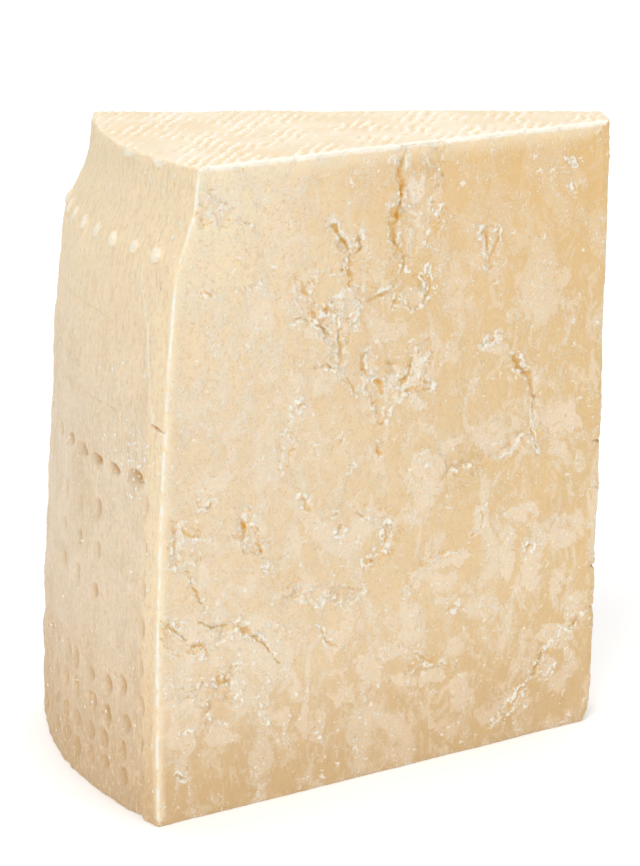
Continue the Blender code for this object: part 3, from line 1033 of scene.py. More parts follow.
class Wedge:
    """The cheese itself: form, surfaces and finish."""

    GRID = (300, 170, 360)  # quads from rind to tip, front to back, and foot to top
    FACES = 195_000  # triangles that are kept
    REACH = 2.6  # how deep below its surface a relief still moves the paste
    SHEET = 296.0  # the side of the square that the flat pattern is laid out in
    PATTERN = {
        Side.FRONT: (2.0, 2.0),
        Side.BACK: (120.5, 2.0),
        Side.RIND: (2.0, 149.5),
        Side.TIP: (81.0, 149.5),
        Side.PLATE: (161.0, 186.2),
        Side.FOOT: (161.0, 259.4),
    }

    def __init__(self, form: WedgeForm) -> None:
        """Sets the surfaces on the form.

        Args:
            form: the plain wedge.
        """
        self.form = form
        back = drawn_flaws(21, 131.0, form.height, 46, 12)
        tip = drawn_flaws(22, 11.6, form.height, 12, 3)
        foot = tuple(self._moved(flaw, -50, -18) for flaw in drawn_flaws(23, 90, 36, 14, 4))
        self.surfaces = {
            Side.FRONT: CutSurface(11, FRONT_SCARS + FRONT_LEDGES + FRONT_TEARS, FRONT_BLOOMS),
            Side.BACK: CutSurface(12, back),
            Side.RIND: MouldedRind(13),
            Side.TIP: CutSurface(14, tip, swell=0.15),
            Side.PLATE: ClothPrint(15),
            Side.FOOT: CutSurface(16, foot, swell=0.0, flake_step=0.06),
        }

    @staticmethod
    def _moved(flaw: Flaw, along: float, across: float) -> Flaw:
        """Puts a flaw somewhere else on its surface.

        Args:
            flaw: the flaw.
            along: how far it moves in the first direction.
            across: how far it moves in the second.

        Returns:
            The moved flaw.
        """
        shifted = tuple((x + along, y + across) for x, y in flaw.places())
        if isinstance(flaw, Scar):
            return replace(flaw, outline=shifted)
        return replace(flaw, path=shifted)

    def _unit_box(self) -> bpy.types.Mesh:
        """Makes a cube whose faces are fine grids.

        Returns:
            The closed cube, with its corners at 0 and 1.
        """
        box = bmesh.new()
        half = 0.5
        turns = {
            "X": Matrix.Rotation(math.radians(90), 4, "X"),
            "Y": Matrix.Rotation(math.radians(90), 4, "Y"),
        }
        along, across, up = self.GRID
        layout = (
            ((along, across), Matrix.Identity(4), (0, 0, half), False),
            ((along, across), Matrix.Identity(4), (0, 0, -half), True),
            ((along, up), turns["X"], (0, -half, 0), False),
            ((along, up), turns["X"], (0, half, 0), True),
            ((up, across), turns["Y"], (half, 0, 0), False),
            ((up, across), turns["Y"], (-half, 0, 0), True),
        )
        for (columns, rows), turn, shift, flip in layout:
            place = Matrix.Translation(shift) @ turn
            made = bmesh.ops.create_grid(
                box, x_segments=columns, y_segments=rows, size=half, matrix=place
            )
            if flip:
                faces = list({face for vertex in made["verts"] for face in vertex.link_faces})
                bmesh.ops.reverse_faces(box, faces=faces)
        rims = [vertex for vertex in box.verts if vertex.is_boundary]
        bmesh.ops.remove_doubles(box, verts=rims, dist=1e-5)
        bmesh.ops.translate(box, verts=box.verts[:], vec=(half, half, half))
        mesh = bpy.data.meshes.new("cheese_wedge_body")
        box.to_mesh(mesh)
        box.free()
        return mesh

    def _worked(self, places: Array) -> Array:
        """Moves points of the plain form as the surfaces' reliefs say.

        Args:
            places: the points of the plain form.

        Returns:
            The points of the finished form.
        """
        moved = places.copy()
        for side, surface in self.surfaces.items():
            depth, p, q, outward = self.form.seen_from(side, places)
            near = depth < self.REACH
            share = eased(1 - depth[near] / self.REACH)
            height = surface.worked(p[near], q[near]).height
            if side is Side.FOOT:
                height = np.minimum(height, 0) * eased((self._to_rim(side, places[near]) - 1) / 4)
            elif side in (Side.FRONT, Side.RIND):
                other = Side.RIND if side is Side.FRONT else Side.FRONT
                rim = np.abs(self.form.seen_from(other, places[near])[0])
                height *= 0.2 + 0.8 * eased(rim / 3)
            moved[near] += outward[near] * (share * height)[:, None]
        moved[:, 2] = np.maximum(moved[:, 2], 0)
        return moved

    def _to_rim(self, own: Side, places: Array) -> Array:
        """How far points on one surface are from the nearest other one."""
        others = [np.abs(self.form.seen_from(side, places)[0]) for side in Side if side is not own]
        return np.min(others, axis=0)

    @staticmethod
    def _places(mesh: bpy.types.Mesh) -> Array:
        """Reads a mesh's points.

        Args:
            mesh: the mesh.

        Returns:
            Three coordinates a row.
        """
        flat = np.empty(len(mesh.vertices) * 3)
        mesh.vertices.foreach_get("co", flat)
        return flat.reshape(-1, 3)

    def _thinned(self, mesh: bpy.types.Mesh) -> bpy.types.Mesh:
        """Takes away the quads that flat stretches can spare.

        Args:
            mesh: the fine mesh, which is removed.

        Returns:
            The thinner mesh.
        """
        carrier = bpy.data.objects.new("thinning", mesh)
        bpy.context.scene.collection.objects.link(carrier)
        faces = 2 * len(mesh.polygons)
        thin = carrier.modifiers.new("thin", "DECIMATE")
        thin.ratio = min(1.0, self.FACES / faces)
        bpy.context.view_layer.update()
        graph = bpy.context.evaluated_depsgraph_get()
        made = bpy.data.meshes.new_from_object(carrier.evaluated_get(graph))
        bpy.data.objects.remove(carrier)
        bpy.data.meshes.remove(mesh)
        return made

    def build(self) -> bpy.types.Object:
        """Makes the wedge.

        Returns:
            The finished piece, not yet dressed.
        """
        mesh = self._unit_box()
        plain = self.form.without_corner(self.form.softened(self.form.bent(self._places(mesh))))
        mesh.vertices.foreach_set("co", (self._worked(plain) * MM).ravel())
        home = mesh.attributes.new("home", "FLOAT_VECTOR", "POINT")
        home.data.foreach_set("vector", plain.astype(np.float32).ravel())
        mesh.update()
        mesh = self._thinned(mesh)
        mesh.name = "cheese_wedge_body"
        mesh.shade_smooth()
        piece = bpy.data.objects.new("cheese_body", mesh)
        bpy.context.scene.collection.objects.link(piece)
        self._mark(mesh)
        return piece

    def _mark(self, mesh: bpy.types.Mesh) -> None:
        """Writes the reliefs' fields at each point, then each face's skin and its flat pattern.

        Args:
            mesh: the finished mesh, with the points' plain places under the name home.
        """
        flat = np.empty(len(mesh.vertices) * 3, np.float32)
        mesh.attributes["home"].data.foreach_get("vector", flat)
        mesh.attributes.remove(mesh.attributes["home"])
        places = flat.reshape(-1, 3).astype(float)
        seen = {side: self.form.seen_from(side, places) for side in Side}
        depths = np.array([np.abs(seen[side][0]) for side in Side])
        nearest = np.argmin(depths, axis=0)
        marks = blank(len(places))
        second = np.argsort(depths, axis=0)[1]
        # the front cut's edges with the rind and the top carry a painted white edge highlight, partly
        # crumbly white paste, with a paler painted band beside it; arris is the distance to such an
        # edge, scaled down along the top, which widens the band there
        worn = (nearest == Side.FRONT.value) | (second == Side.FRONT.value)
        plain = np.isin(nearest, PLAIN) | np.isin(second, PLAIN) | ~worn
        top = (nearest == Side.PLATE.value) | (second == Side.PLATE.value)
        away = np.sort(depths, axis=0)[1] * np.where(top, 0.45, 1.0)
        marks["arris"] = np.where(plain, 5, np.minimum(away, 5))
        for side, surface in self.surfaces.items():
            own = nearest == side.value
            _, p, q, _ = seen[side]
            for name, values in surface.worked(p[own], q[own]).fields.items():
                marks[name][own] = values
        marks["sunk"] *= eased(np.sort(depths, axis=0)[1] / 1.2 - 0.2)
        for name, values in marks.items():
            layer = mesh.attributes.new(name, "FLOAT", "POINT")
            layer.data.foreach_set("value", np.maximum(values, -3).astype(np.float32))
        self._lay_out(mesh, seen, nearest)

    def _lay_out(
        self, mesh: bpy.types.Mesh, seen: dict[Side, tuple[Array, ...]], nearest: Array
    ) -> None:
        """Gives each face its skin and its place in the flat pattern.

        Args:
            mesh: the finished mesh.
            seen: the points, measured against each surface.
            nearest: the surface that each point lies on.
        """
        corners = np.empty(len(mesh.loops), np.int32)
        mesh.loops.foreach_get("vertex_index", corners)
        starts = np.empty(len(mesh.polygons), np.int32)
        mesh.polygons.foreach_get("loop_start", starts)
        totals = np.empty(len(mesh.polygons), np.int32)
        mesh.polygons.foreach_get("loop_total", totals)
        votes = np.zeros((len(starts), len(Side)), np.int32)
        for side in Side:
            votes[:, side.value] = np.add.reduceat((nearest[corners] == side.value) * 1, starts)
        face_side = votes.argmax(axis=1)
        corner_side = np.repeat(face_side, totals)
        spot = np.zeros((len(corners), 3))
        pattern = np.zeros((len(corners), 2))
        skins = np.zeros(len(starts), np.int32)
        for side in Side:
            own = corner_side == side.value
            _, p, q, _ = seen[side]
            at = corners[own]
            spot[own, :2] = np.column_stack([p[at], q[at]])
            pattern[own] = spot[own, :2] + self.PATTERN[side]
            skins[face_side == side.value] = SKIN_OF[side].value
        mesh.polygons.foreach_set("material_index", skins)
        layer = mesh.attributes.new("spot", "FLOAT_VECTOR", "CORNER")
        layer.data.foreach_set("vector", (spot * MM).astype(np.float32).ravel())
        layer = mesh.uv_layers.new(name="OFBake")
        layer.uv.foreach_set("vector", (pattern / self.SHEET).astype(np.float32).ravel())

    def dress(self, piece: bpy.types.Object) -> None:
        """Puts the three skins' finishes on the piece."""
        for finish in (CutPaste(), PressedRind(), ClothMarkedTop()):
            piece.data.materials.append(finish.material())


Node = bpy.types.Node
Socket = bpy.types.NodeSocket
Tree = bpy.types.NodeTree


def add_node(tree: Tree, kind: str, links: dict | None = None, **settings: object) -> Node:
    """Adds a shader node.

    Args:
        tree: the material's node tree.
        kind: the node's type.
        links: what feeds each input: a socket to link, or a value to set.
        settings: properties of the node itself.

    Returns:
        The node.
    """
    node = tree.nodes.new(kind)
    for name, value in settings.items():
        setattr(node, name, value)
    for name, value in (links or {}).items():
        socket = node.inputs[name]
        if isinstance(value, Socket):
            tree.links.new(value, socket)
        else:
            socket.default_value = value
    return node


class Brush:
    """Short names for what the finishes do in a node tree."""

    def __init__(self, tree: Tree) -> None:
        """Takes a tree to work in."""
        self.tree = tree
        self.where = add_node(tree, "ShaderNodeTexCoord").outputs["Object"]

    def mark(self, name: str, part: str = "Fac") -> Socket:
        """One of the piece's own fields."""
        return add_node(self.tree, "ShaderNodeAttribute", attribute_name=name).outputs[part]

    def noise(
        self,
        size: float,
        detail: float = 3,
        rough: float = 0.5,
        warp: float = 0,
        at: Socket | None = None,
    ) -> Socket:
        """Adds noise.

        Args:
            size: the spacing of its swells, in millimetres.
            detail: how many finer layers it has.
            rough: how strong they are.
            warp: how much it is bent by itself.
            at: coordinates other than the piece's own.

        Returns:
            Values around 0.5.
        """
        links = {
            "Vector": at or self.where,
            "Scale": 1 / (size * MM),
            "Detail": detail,
            "Roughness": rough,
            "Distortion": warp,
        }
        return add_node(self.tree, "ShaderNodeTexNoise", links).outputs["Fac"]

    def step(self, value: Socket, low: float, high: float, top: float = 1.0) -> Socket:
        """Adds a smooth rise from 0.

        Args:
            value: what is looked at.
            low: the value where the rise starts.
            high: the value where it ends; it may be the lower one.
            top: how high it rises.

        Returns:
            From 0 to the top.
        """
        links = {"Value": value, "From Min": low, "From Max": high, "To Max": top}
        kind = "ShaderNodeMapRange"
        return add_node(self.tree, kind, links, interpolation_type="SMOOTHSTEP").outputs["Result"]

    def span(self, value: Socket, low: float, high: float, first: float, last: float) -> Socket:
        """A straight run from a first number to a last between two values."""
        links = {"Value": value, "From Min": low, "From Max": high, "To Min": first, "To Max": last}
        return add_node(self.tree, "ShaderNodeMapRange", links).outputs["Result"]

    def calc(self, how: str, *values: Socket | float) -> Socket:
        """Arithmetic."""
        links = dict(enumerate(values))
        return add_node(self.tree, "ShaderNodeMath", links, operation=how).outputs[0]

    def most(self, first: Socket, *others: Socket) -> Socket:
        """Finds the greatest of some values.

        Args:
            first: one value.
            others: the rest.

        Returns:
            The greatest.
        """
        for other in others:
            first = self.calc("MAXIMUM", first, other)
        return first

    def band(self, value: Socket, low: float, high: float) -> Socket:
        """Picks a range out.

        Args:
            value: what is looked at.
            low: the range's start.
            high: its end.

        Returns:
            1 in the range, with soft ends, and 0 outside it.
        """
        soft = (high - low) * 0.35
        rise = self.step(value, low, low + soft)
        return self.calc("MULTIPLY", rise, self.step(value, high, high - soft))

    def blend(self, share: Socket, first: Socket | tuple, second: Socket | tuple) -> Socket:
        """A colour between two."""
        links = {0: share, 6: first, 7: second}
        return add_node(self.tree, "ShaderNodeMix", links, data_type="RGBA").outputs[2]

    def stretched(self, at: Socket, scale: tuple[float, float, float]) -> Socket:
        """Coordinates scaled along each way."""
        return add_node(self.tree, "ShaderNodeMapping", {"Vector": at, "Scale": scale}).outputs[0]


@dataclass(frozen=True)
class Paint:
    """What a finish puts on a skin: colour, relief in millimetres and roughness."""

    colour: Socket
    height: Socket
    rough: Socket


@dataclass(frozen=True)
class Finish:
    """A skin of the cheese. All of them have its fatty sheen and let light soak in."""

    name: ClassVar[str]
    soak: ClassVar[float] = 0.4

    def paint(self, brush: Brush) -> Paint:
        """Paints the skin's own pattern, with the brush of the material's tree."""
        raise NotImplementedError

    def material(self) -> bpy.types.Material:
        """Makes the finish.

        Returns:
            The material.
        """
        material = bpy.data.materials.new(self.name)
        material.use_nodes = True
        tree = material.node_tree
        paint = self.paint(Brush(tree))
        links = {"Height": paint.height, "Strength": 1.0, "Distance": MM}
        bump = add_node(tree, "ShaderNodeBump", links)
        shader = tree.nodes["Principled BSDF"]
        tree.links.new(paint.colour, shader.inputs["Base Color"])
        tree.links.new(paint.rough, shader.inputs["Roughness"])
        tree.links.new(bump.outputs["Normal"], shader.inputs["Normal"])
        shader.inputs["IOR"].default_value = 1.45
        shader.inputs["Specular IOR Level"].default_value = 0.35
        shader.inputs["Subsurface Weight"].default_value = self.soak
        shader.inputs["Subsurface Radius"].default_value = (1.0, 0.7, 0.42)
        shader.inputs["Subsurface Scale"].default_value = 1.1 * MM
        return material


@dataclass(frozen=True)
class CutPaste(Finish):
    """Hard cow's-milk cheese, aged about two years, split and sliced with a short knife.

    The eye sees dense straw-coloured paste with milky, drier patches, white specks of milk
    crystals, chalky crumbs on every broken edge, and ochre depth where a split opens. The ochre
    in splits and under ledges, the paler top, the darker foot and the shift in colour across
    the cut are painted light and shade, and the white line along the edges is partly a painted
    highlight.
    """

    # the first two colours paint light across the cut: paler on the rind side, deeper on the tip side
    rind_side_paste: str = "#f0dab8"
    tip_side_paste: str = "#e6c692"
    cream: str = "#f4e3cb"
    # white of crystals and crumbs, and of the painted edge highlight
    chalk_and_highlight: str = "#fff5e6"
    # this straw is painted light: the paler top of the cut and the band along its edges
    straw: str = "#fdebcb"
    # this colour is painted light near the top on the tip side
    tip_top_colour: str = "#ebc486"
    # these two colours are painted shade in the recesses
    ochre: str = "#e4bb78"
    deep: str = "#dd9f42"
    # this tan darkens some grains, and paints shade at the foot
    tan: str = "#dab989"
    patch_size: float = 9.0  # mm, between dry patches
    mottle_size: float = 3.6
    grit_size: float = 1.3  # real grains are about 0.4 apart, too fine to show
    dust_size: float = 0.6  # real dust is under 0.1, too fine to show
    name: ClassVar[str] = "cut_hard_paste"

    def paint(self, brush: Brush) -> Paint:
        """Paints paste, patches, specks, rims and open splits.

        Args:
            brush: the brush of the material's tree.

        Returns:
            The paint.
        """
        grit = brush.noise(self.grit_size, 4, 0.62)
        dust = brush.noise(self.dust_size, 2)
        upright = brush.stretched(brush.where, (1.0, 1.0, 0.6))
        cloud = brush.noise(self.patch_size, 9, 0.7, 0.8, upright)
        mottle = brush.noise(self.mottle_size, 7, 0.72, 0.8, upright)
        some = brush.step(brush.noise(4.5, 3), 0.45, 0.57)
        rag = brush.calc("MULTIPLY_ADD", grit, 1.7, brush.calc("MULTIPLY_ADD", dust, 1.0, -1.35))
        rift = brush.calc("ADD", brush.mark("rift"), brush.calc("MULTIPLY", rag, 0.45))
        torn = brush.calc("ADD", brush.mark("torn"), rag)
        lip = brush.calc("ADD", brush.mark("lip"), brush.calc("MULTIPLY", rag, 0.8))
        axes = add_node(brush.tree, "ShaderNodeSeparateXYZ", {"Vector": brush.where})
        # painted light across the cut: the paste is paler towards the rind and deeper, more saturated
        # towards the tip
        inner = brush.calc("MULTIPLY_ADD", brush.noise(30, 2), 0.06, axes.outputs["X"])
        colour = brush.blend(brush.step(inner, -0.02, 0.1), linear(self.rind_side_paste), linear(self.tip_side_paste))
        # painted light: paler straw near the top of the cut on the rind side
        near_top = brush.step(axes.outputs["Z"], 0.085, 0.14)
        top_light = brush.calc("MULTIPLY", near_top, brush.step(inner, 0.05, -0.03))
        colour = brush.blend(top_light, colour, linear(self.straw))
        # painted shade: the paste turns tan towards the foot
        foot_shade = brush.step(brush.calc("MULTIPLY_ADD", cloud, 0.02, axes.outputs["Z"]), 0.05, 0.012, 0.95)
        colour = brush.blend(foot_shade, colour, linear(self.tan))
        shade = brush.calc("MULTIPLY", brush.step(dust, 0.54, 0.34, 0.5), brush.step(grit, 0.58, 0.42))
        shade = brush.most(shade, brush.step(mottle, 0.44, 0.34, 0.35))
        colour = brush.blend(shade, colour, linear(self.tan))
        terrace = brush.calc("FRACT", brush.calc("MULTIPLY_ADD", grit, 0.35, brush.mark("flake")))
        brink = brush.calc("MULTIPLY", brush.step(terrace, 0.3, 0.95), brush.step(cloud, 0.42, 0.6, 0.5))
        bloom = brush.calc("MULTIPLY_ADD", rag, 0.5, brush.mark("milk"))
        milky = brush.most(
            brush.step(cloud, 0.5, 0.57, 0.75),
            brush.step(mottle, 0.51, 0.58, 0.6),
            brink,
            brush.step(bloom, 0.2, 0.5, 0.8),
        )
        milky = brush.calc("MULTIPLY", milky, brush.span(dust, 0.3, 0.6, 0.7, 1.0))
        # painted light: a deeper, more saturated colour near the top on the tip side, where milky
        # patches are held back
        tip_top_tint = brush.calc("MULTIPLY", near_top, brush.step(inner, 0.0, 0.06, 0.6))
        milky = brush.calc("MULTIPLY", milky, brush.calc("SUBTRACT", 1.0, tip_top_tint))
        # milky patches fade in the painted shade at the foot
        milky = brush.calc("MULTIPLY", milky, brush.calc("MULTIPLY_ADD", foot_shade, -0.35, 1.0))
        colour = brush.blend(tip_top_tint, colour, linear(self.tip_top_colour))
        colour = brush.blend(milky, colour, linear(self.cream))
        # painted shade: scar floors get a faint ochre tint
        floor = brush.step(torn, 0.0, 0.5)
        colour = brush.blend(brush.calc("MULTIPLY", floor, 0.1), colour, linear(self.ochre))
        flecks = brush.calc("MULTIPLY", brush.step(dust, 0.52, 0.6), brush.step(mottle, 0.48, 0.58, 0.7))
        specks = brush.most(
            brush.calc("MULTIPLY", flecks, brush.step(cloud, 0.46, 0.56)),
            brush.step(brush.noise(1.5, 2, warp=0.5), 0.65, 0.72, 0.8),
            brush.calc("MULTIPLY", floor, brush.step(mottle, 0.5, 0.55, 0.5)),
        )
        crumbs = brush.step(brush.calc("MULTIPLY_ADD", dust, 1.1, brush.mark("crumb")), 0.85, 1.15)
        rims = brush.most(brush.band(rift, -0.9, 0.1), brush.band(torn, -1.1, 0.0))
        rims = brush.calc("MULTIPLY", rims, some)
        rims = brush.most(rims, brush.step(lip, 0.0, 0.5))
        rims = brush.calc("MULTIPLY", rims, brush.step(grit, 0.42, 0.54, 0.95))
        # painted edge highlight: a paler straw band along the edges and a white line at them, partly
        # crumbly white paste
        arris = brush.calc("MULTIPLY_ADD", rag, 0.3, brush.mark("arris"))
        colour = brush.blend(brush.step(arris, 2.4, 0.3, 0.7), colour, linear(self.straw))
        white = brush.most(specks, crumbs, rims, brush.step(arris, 0.55, 0.3, 0.95))
        colour = brush.blend(white, colour, linear(self.chalk_and_highlight))
        # painted shade in the recesses, warm as in translucent paste: ochre in open splits, just inside
        # scar edges, on the low side of ledges and in tiny holes, and deeper ochre in the widest splits
        gap = brush.step(rift, 0.0, 0.22)
        nook_shade = brush.most(brush.band(torn, -0.1, 0.9), brush.band(lip, -1.8, -0.25))
        nook_shade = brush.calc("MULTIPLY", nook_shade, brush.step(dust, 0.58, 0.44, 0.7))
        nook_shade = brush.calc("MULTIPLY", nook_shade, brush.calc("MULTIPLY_ADD", some, -0.8, 1.0))
        pit_shade = brush.calc("MULTIPLY", brush.step(dust, 0.4, 0.34, 0.9), brush.step(mottle, 0.52, 0.6))
        recess_shade = brush.most(brush.calc("MULTIPLY", gap, 0.75), nook_shade, brush.calc("MULTIPLY", pit_shade, 0.6))
        colour = brush.blend(recess_shade, colour, linear(self.ochre))
        colour = brush.blend(brush.step(rift, 0.35, 0.8), colour, linear(self.deep))
        relief = brush.calc("MULTIPLY_ADD", dust, 0.16, brush.calc("MULTIPLY", grit, 0.42))
        relief = brush.calc("MULTIPLY_ADD", floor, -0.1, relief)
        relief = brush.calc("MULTIPLY_ADD", brush.most(crumbs, rims, specks), 0.13, relief)
        relief = brush.calc("MULTIPLY_ADD", milky, 0.09, relief)
        return Paint(colour, relief, brush.span(grit, 0.3, 0.7, 0.42, 0.62))


@dataclass(frozen=True)
class PressedRind(Finish):
    """The wheel's natural rind: the same paste, dried, brushed and oiled over many months.

    The eye sees a duller, greyer skin with fine upright lines from the mould's cloth, paler
    raised marks and browner hollows. The hollows' brown is painted shade, and the pale far rim
    of each dimple a painted highlight.
    """

    skin: str = "#f2dfc4"
    grey: str = "#e6d0b0"
    # gold is the rind's warmer grain, and also painted light in the upper band, the strip and along the
    # edge
    gold: str = "#ffe7c2"
    # white of raised marks and crumbs, and of painted highlights
    chalk_and_highlight: str = "#fff7e9"
    # this brown is the strands' own tone, and painted shade in the dimples, the folds and at the foot
    hollow: str = "#c89d62"
    # painted shade in the split
    ochre: str = "#cf9a58"
    patch_size: float = 12.0  # mm, between greyer patches
    grit_size: float = 1.2
    thread_size: float = 1.0  # the lining's threads are about 0.5 apart, too fine to show
    strand_size: float = 0.5  # and their strands finer still
    name: ClassVar[str] = "pressed_natural_rind"

    def paint(self, brush: Brush) -> Paint:
        """Paints skin, cloth lines and mould marks, with painted shade and edge highlights.

        Args:
            brush: the brush of the material's tree.

        Returns:
            The paint.
        """
        spot = brush.mark("spot", "Vector")
        grit = brush.noise(self.grit_size, 4, 0.6)
        threads = brush.stretched(spot, (1.0, 0.16, 1.0))
        threads = brush.noise(self.thread_size, 4, 0.6, 0.4, threads)
        cloud = brush.noise(self.patch_size, 8, 0.66, 0.6)
        axes = add_node(brush.tree, "ShaderNodeSeparateXYZ", {"Vector": spot})
        rag = brush.calc("MULTIPLY_ADD", grit, 1.2, -0.6)
        colour = brush.blend(brush.step(cloud, 0.3, 0.6), linear(self.grey), linear(self.skin))
        # partly the rind's own warmer tone and partly painted light: a paler gold band near the top and
        # along the proud strip beside the front cut
        upper = brush.step(axes.outputs["Y"], 0.078, 0.13, 0.9)
        strip = brush.step(brush.calc("MULTIPLY_ADD", rag, 0.002, axes.outputs["X"]), 0.0085, 0.004, 0.9)
        colour = brush.blend(brush.most(upper, strip), colour, linear(self.gold))
        # painted shade: the rind turns brown towards the foot
        foot = brush.step(brush.calc("MULTIPLY_ADD", cloud, 0.02, axes.outputs["Y"]), 0.07, 0.0, 0.66)
        colour = brush.blend(foot, colour, linear(self.hollow))
        colour = brush.blend(brush.step(threads, 0.5, 0.34, 0.5), colour, linear(self.grey))
        warm = brush.most(brush.step(grit, 0.52, 0.66, 0.45), brush.step(threads, 0.54, 0.68, 0.5))
        colour = brush.blend(warm, colour, linear(self.gold))
        strands = brush.stretched(spot, (1.0, 0.3, 1.0))
        strands = brush.noise(self.strand_size, 3, 0.6, 0.3, strands)
        brown = brush.step(strands, 0.5, 0.34, 0.25)
        # painted shade: brown in the dimples' deep sides and along the cloth's folds, with the strands'
        # own browner tone
        sunk = brush.calc("MULTIPLY_ADD", rag, 0.3, brush.mark("sunk"))
        brown = brush.most(brown, brush.step(sunk, 0.05, 0.85, 0.9))
        colour = brush.blend(brown, colour, linear(self.hollow))
        arris = brush.calc("MULTIPLY_ADD", rag, 0.3, brush.mark("arris"))
        raised = brush.calc("MULTIPLY_ADD", rag, 0.4, brush.mark("milk"))
        crumbs = brush.step(brush.calc("MULTIPLY_ADD", rag, 0.4, brush.mark("crumb")), 0.35, 0.6)
        lip = brush.step(brush.calc("MULTIPLY_ADD", rag, 0.9, brush.mark("lip")), 0.0, 0.5, 0.6)
        # painted edge highlight: a gold band along the edge with the front cut and a white line at it
        colour = brush.blend(brush.step(arris, 2.0, 0.3, 0.6), colour, linear(self.gold))
        white = brush.most(brush.step(raised, 0.2, 0.8, 0.6), crumbs, lip)
        white = brush.most(white, brush.step(arris, 0.55, 0.3, 0.95))
        colour = brush.blend(white, colour, linear(self.chalk_and_highlight))
        # painted shade: ochre in the split
        gap = brush.step(brush.calc("MULTIPLY_ADD", rag, 0.2, brush.mark("rift")), -0.05, 0.25)
        colour = brush.blend(gap, colour, linear(self.ochre))
        relief = brush.calc("MULTIPLY_ADD", threads, 0.7, brush.calc("MULTIPLY", grit, 0.5))
        relief = brush.calc("MULTIPLY_ADD", strands, 0.3, relief)
        relief = brush.calc("MULTIPLY_ADD", white, 0.08, relief)
        return Paint(colour, relief, brush.span(grit, 0.3, 0.7, 0.5, 0.68))


@dataclass(frozen=True)
class ClothMarkedTop(Finish):
    """The wheel's flat face, printed by a coarse hemp cloth and rubbed pale.

    The eye sees almost white ridges and a warmer tone in the print's hollows.
    """

    rubbed: str = "#f2e4cb"
    warm: str = "#e8cfa6"
    dark: str = "#8f7250"
    # white of the ridges, and of the painted edge highlight
    chalk_and_highlight: str = "#faf2e6"
    patch_size: float = 16.0  # mm, between warmer patches
    grit_size: float = 1.3
    name: ClassVar[str] = "cloth_printed_rind"

    def paint(self, brush: Brush) -> Paint:
        """Paints ridges, hollows and a few specks.

        Args:
            brush: the brush of the material's tree.

        Returns:
            The paint.
        """
        grit = brush.noise(self.grit_size, 4)
        rag = brush.calc("MULTIPLY_ADD", grit, 1.2, -0.6)
        base = brush.step(brush.noise(self.patch_size, 3), 0.35, 0.65, 0.5)
        colour = brush.blend(base, linear(self.rubbed), linear(self.warm))
        # warmer where the print sinks and paler on its ridges, following the print's depth
        sunk = brush.calc("MULTIPLY_ADD", rag, 0.5, brush.mark("sunk"))
        colour = brush.blend(brush.step(sunk, 0.15, 0.7, 0.85), colour, linear(self.warm))
        # painted edge highlight: white along the edge with the front cut
        arris = brush.step(brush.calc("MULTIPLY_ADD", rag, 0.6, brush.mark("arris")), 0.9, 0.3, 0.8)
        raised = brush.step(brush.calc("MULTIPLY_ADD", rag, 0.5, brush.mark("milk")), 0.3, 0.8, 0.7)
        colour = brush.blend(brush.most(arris, raised), colour, linear(self.chalk_and_highlight))
        colour = brush.blend(brush.step(brush.mark("rift"), -0.1, 0.2, 0.9), colour, linear(self.dark))
        return Paint(colour, brush.calc("MULTIPLY", grit, 0.2), brush.span(grit, 0.3, 0.7, 0.52, 0.7))


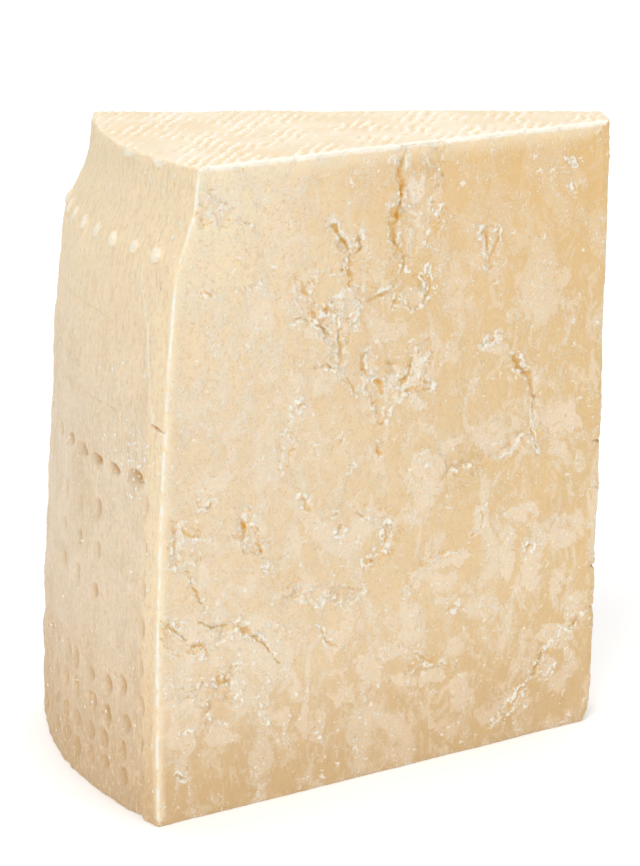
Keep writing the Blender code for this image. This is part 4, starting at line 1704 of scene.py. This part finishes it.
@dataclass
class Studio:
    """A pale floor, soft light and the camera."""

    form: WedgeForm
    lens: float = 105.05  # on a sensor 36 mm along the picture's long side
    heading: float = -15.0  # degrees from +Y, clockwise as seen from above
    pitch: float = 18.2  # degrees down
    stand: tuple[float, float, float] = (-94.4, -488.6, 253.8)  # from the front rind corner
    floor_size: float = 12.0  # metres
    floor_glow: float = 0.1  # the floor is a lit table
    surround: float = 0.25
    lamp_breadth: float = 34.0  # degrees
    # Each lamp's bearing (0 is in front, and the right is positive), its height and its share.
    lamps: tuple[tuple[str, float, float, float], ...] = (
        ("key", -44.0, 48.0, 0.45),
        ("side", 40.0, 46.0, 0.22),
        ("top", 165.0, 78.0, 0.45),
    )

    def floor(self) -> bpy.types.Object:
        """Lays the plain floor, just under the wedge.

        Returns:
            The floor.
        """
        sheet = bmesh.new()
        bmesh.ops.create_grid(sheet, x_segments=1, y_segments=1, size=self.floor_size / 2)
        mesh = bpy.data.meshes.new("floor")
        sheet.to_mesh(mesh)
        sheet.free()
        floor = bpy.data.objects.new("floor", mesh)
        bpy.context.scene.collection.objects.link(floor)
        material = bpy.data.materials.new("pale_floor")
        material.use_nodes = True
        shader = material.node_tree.nodes["Principled BSDF"]
        shader.inputs["Base Color"].default_value = linear("#fafafa")
        shader.inputs["Roughness"].default_value = 0.9
        shader.inputs["Specular IOR Level"].default_value = 0.1
        shader.inputs["Emission Color"].default_value = (1.0, 1.0, 1.0, 1.0)
        shader.inputs["Emission Strength"].default_value = self.floor_glow
        mesh.materials.append(material)
        return floor

    def light(self) -> None:
        """White surroundings and three broad lamps."""
        world = bpy.data.worlds.new("studio")
        bpy.context.scene.world = world
        world.use_nodes = True
        back = world.node_tree.nodes["Background"]
        back.inputs["Color"].default_value = (1.0, 1.0, 1.0, 1.0)
        back.inputs["Strength"].default_value = self.surround
        for name, bearing, height, share in self.lamps:
            lamp = bpy.data.lights.new(name, "SUN")
            lamp.angle = math.radians(self.lamp_breadth)
            lamp.energy = share * math.pi
            holder = bpy.data.objects.new(name, lamp)
            bpy.context.scene.collection.objects.link(holder)
            holder.location = (0, 0, 1)
            holder.rotation_euler = (math.radians(90 - height), 0, math.radians(bearing))

    def camera(self) -> None:
        """The camera, at its place beside the front rind corner."""
        corner = self.form.corner(-1, self.form.front_rind)
        lens = bpy.data.cameras.new("camera")
        lens.lens = self.lens
        lens.sensor_width = 36.0
        lens.clip_start = 0.01
        holder = bpy.data.objects.new("camera", lens)
        bpy.context.scene.collection.objects.link(holder)
        start = np.array([*corner, 0.0])
        holder.location = (start + self.stand) * MM
        holder.rotation_euler = (math.radians(90 - self.pitch), 0, math.radians(self.heading))
        bpy.context.scene.camera = holder
        bpy.context.scene.view_settings.view_transform = "Standard"


def main() -> None:
    """Builds the studio and the wedge, and logs the piece's name and size."""
    logging.basicConfig(level=logging.INFO, format="%(message)s")
    low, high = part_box("cheese_wedge")
    form = WedgeForm(height=(high.z - low.z) / MM)
    studio = Studio(form)
    studio.floor()
    studio.light()
    studio.camera()
    wedge = Wedge(form)
    piece = wedge.build()
    wedge.dress(piece)
    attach(piece, "root")
    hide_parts("cheese_wedge")
    LOG.info("%s: %d faces, %d points", piece.name, len(piece.data.polygons), len(piece.data.vertices))


if __name__ == "__main__":
    main()
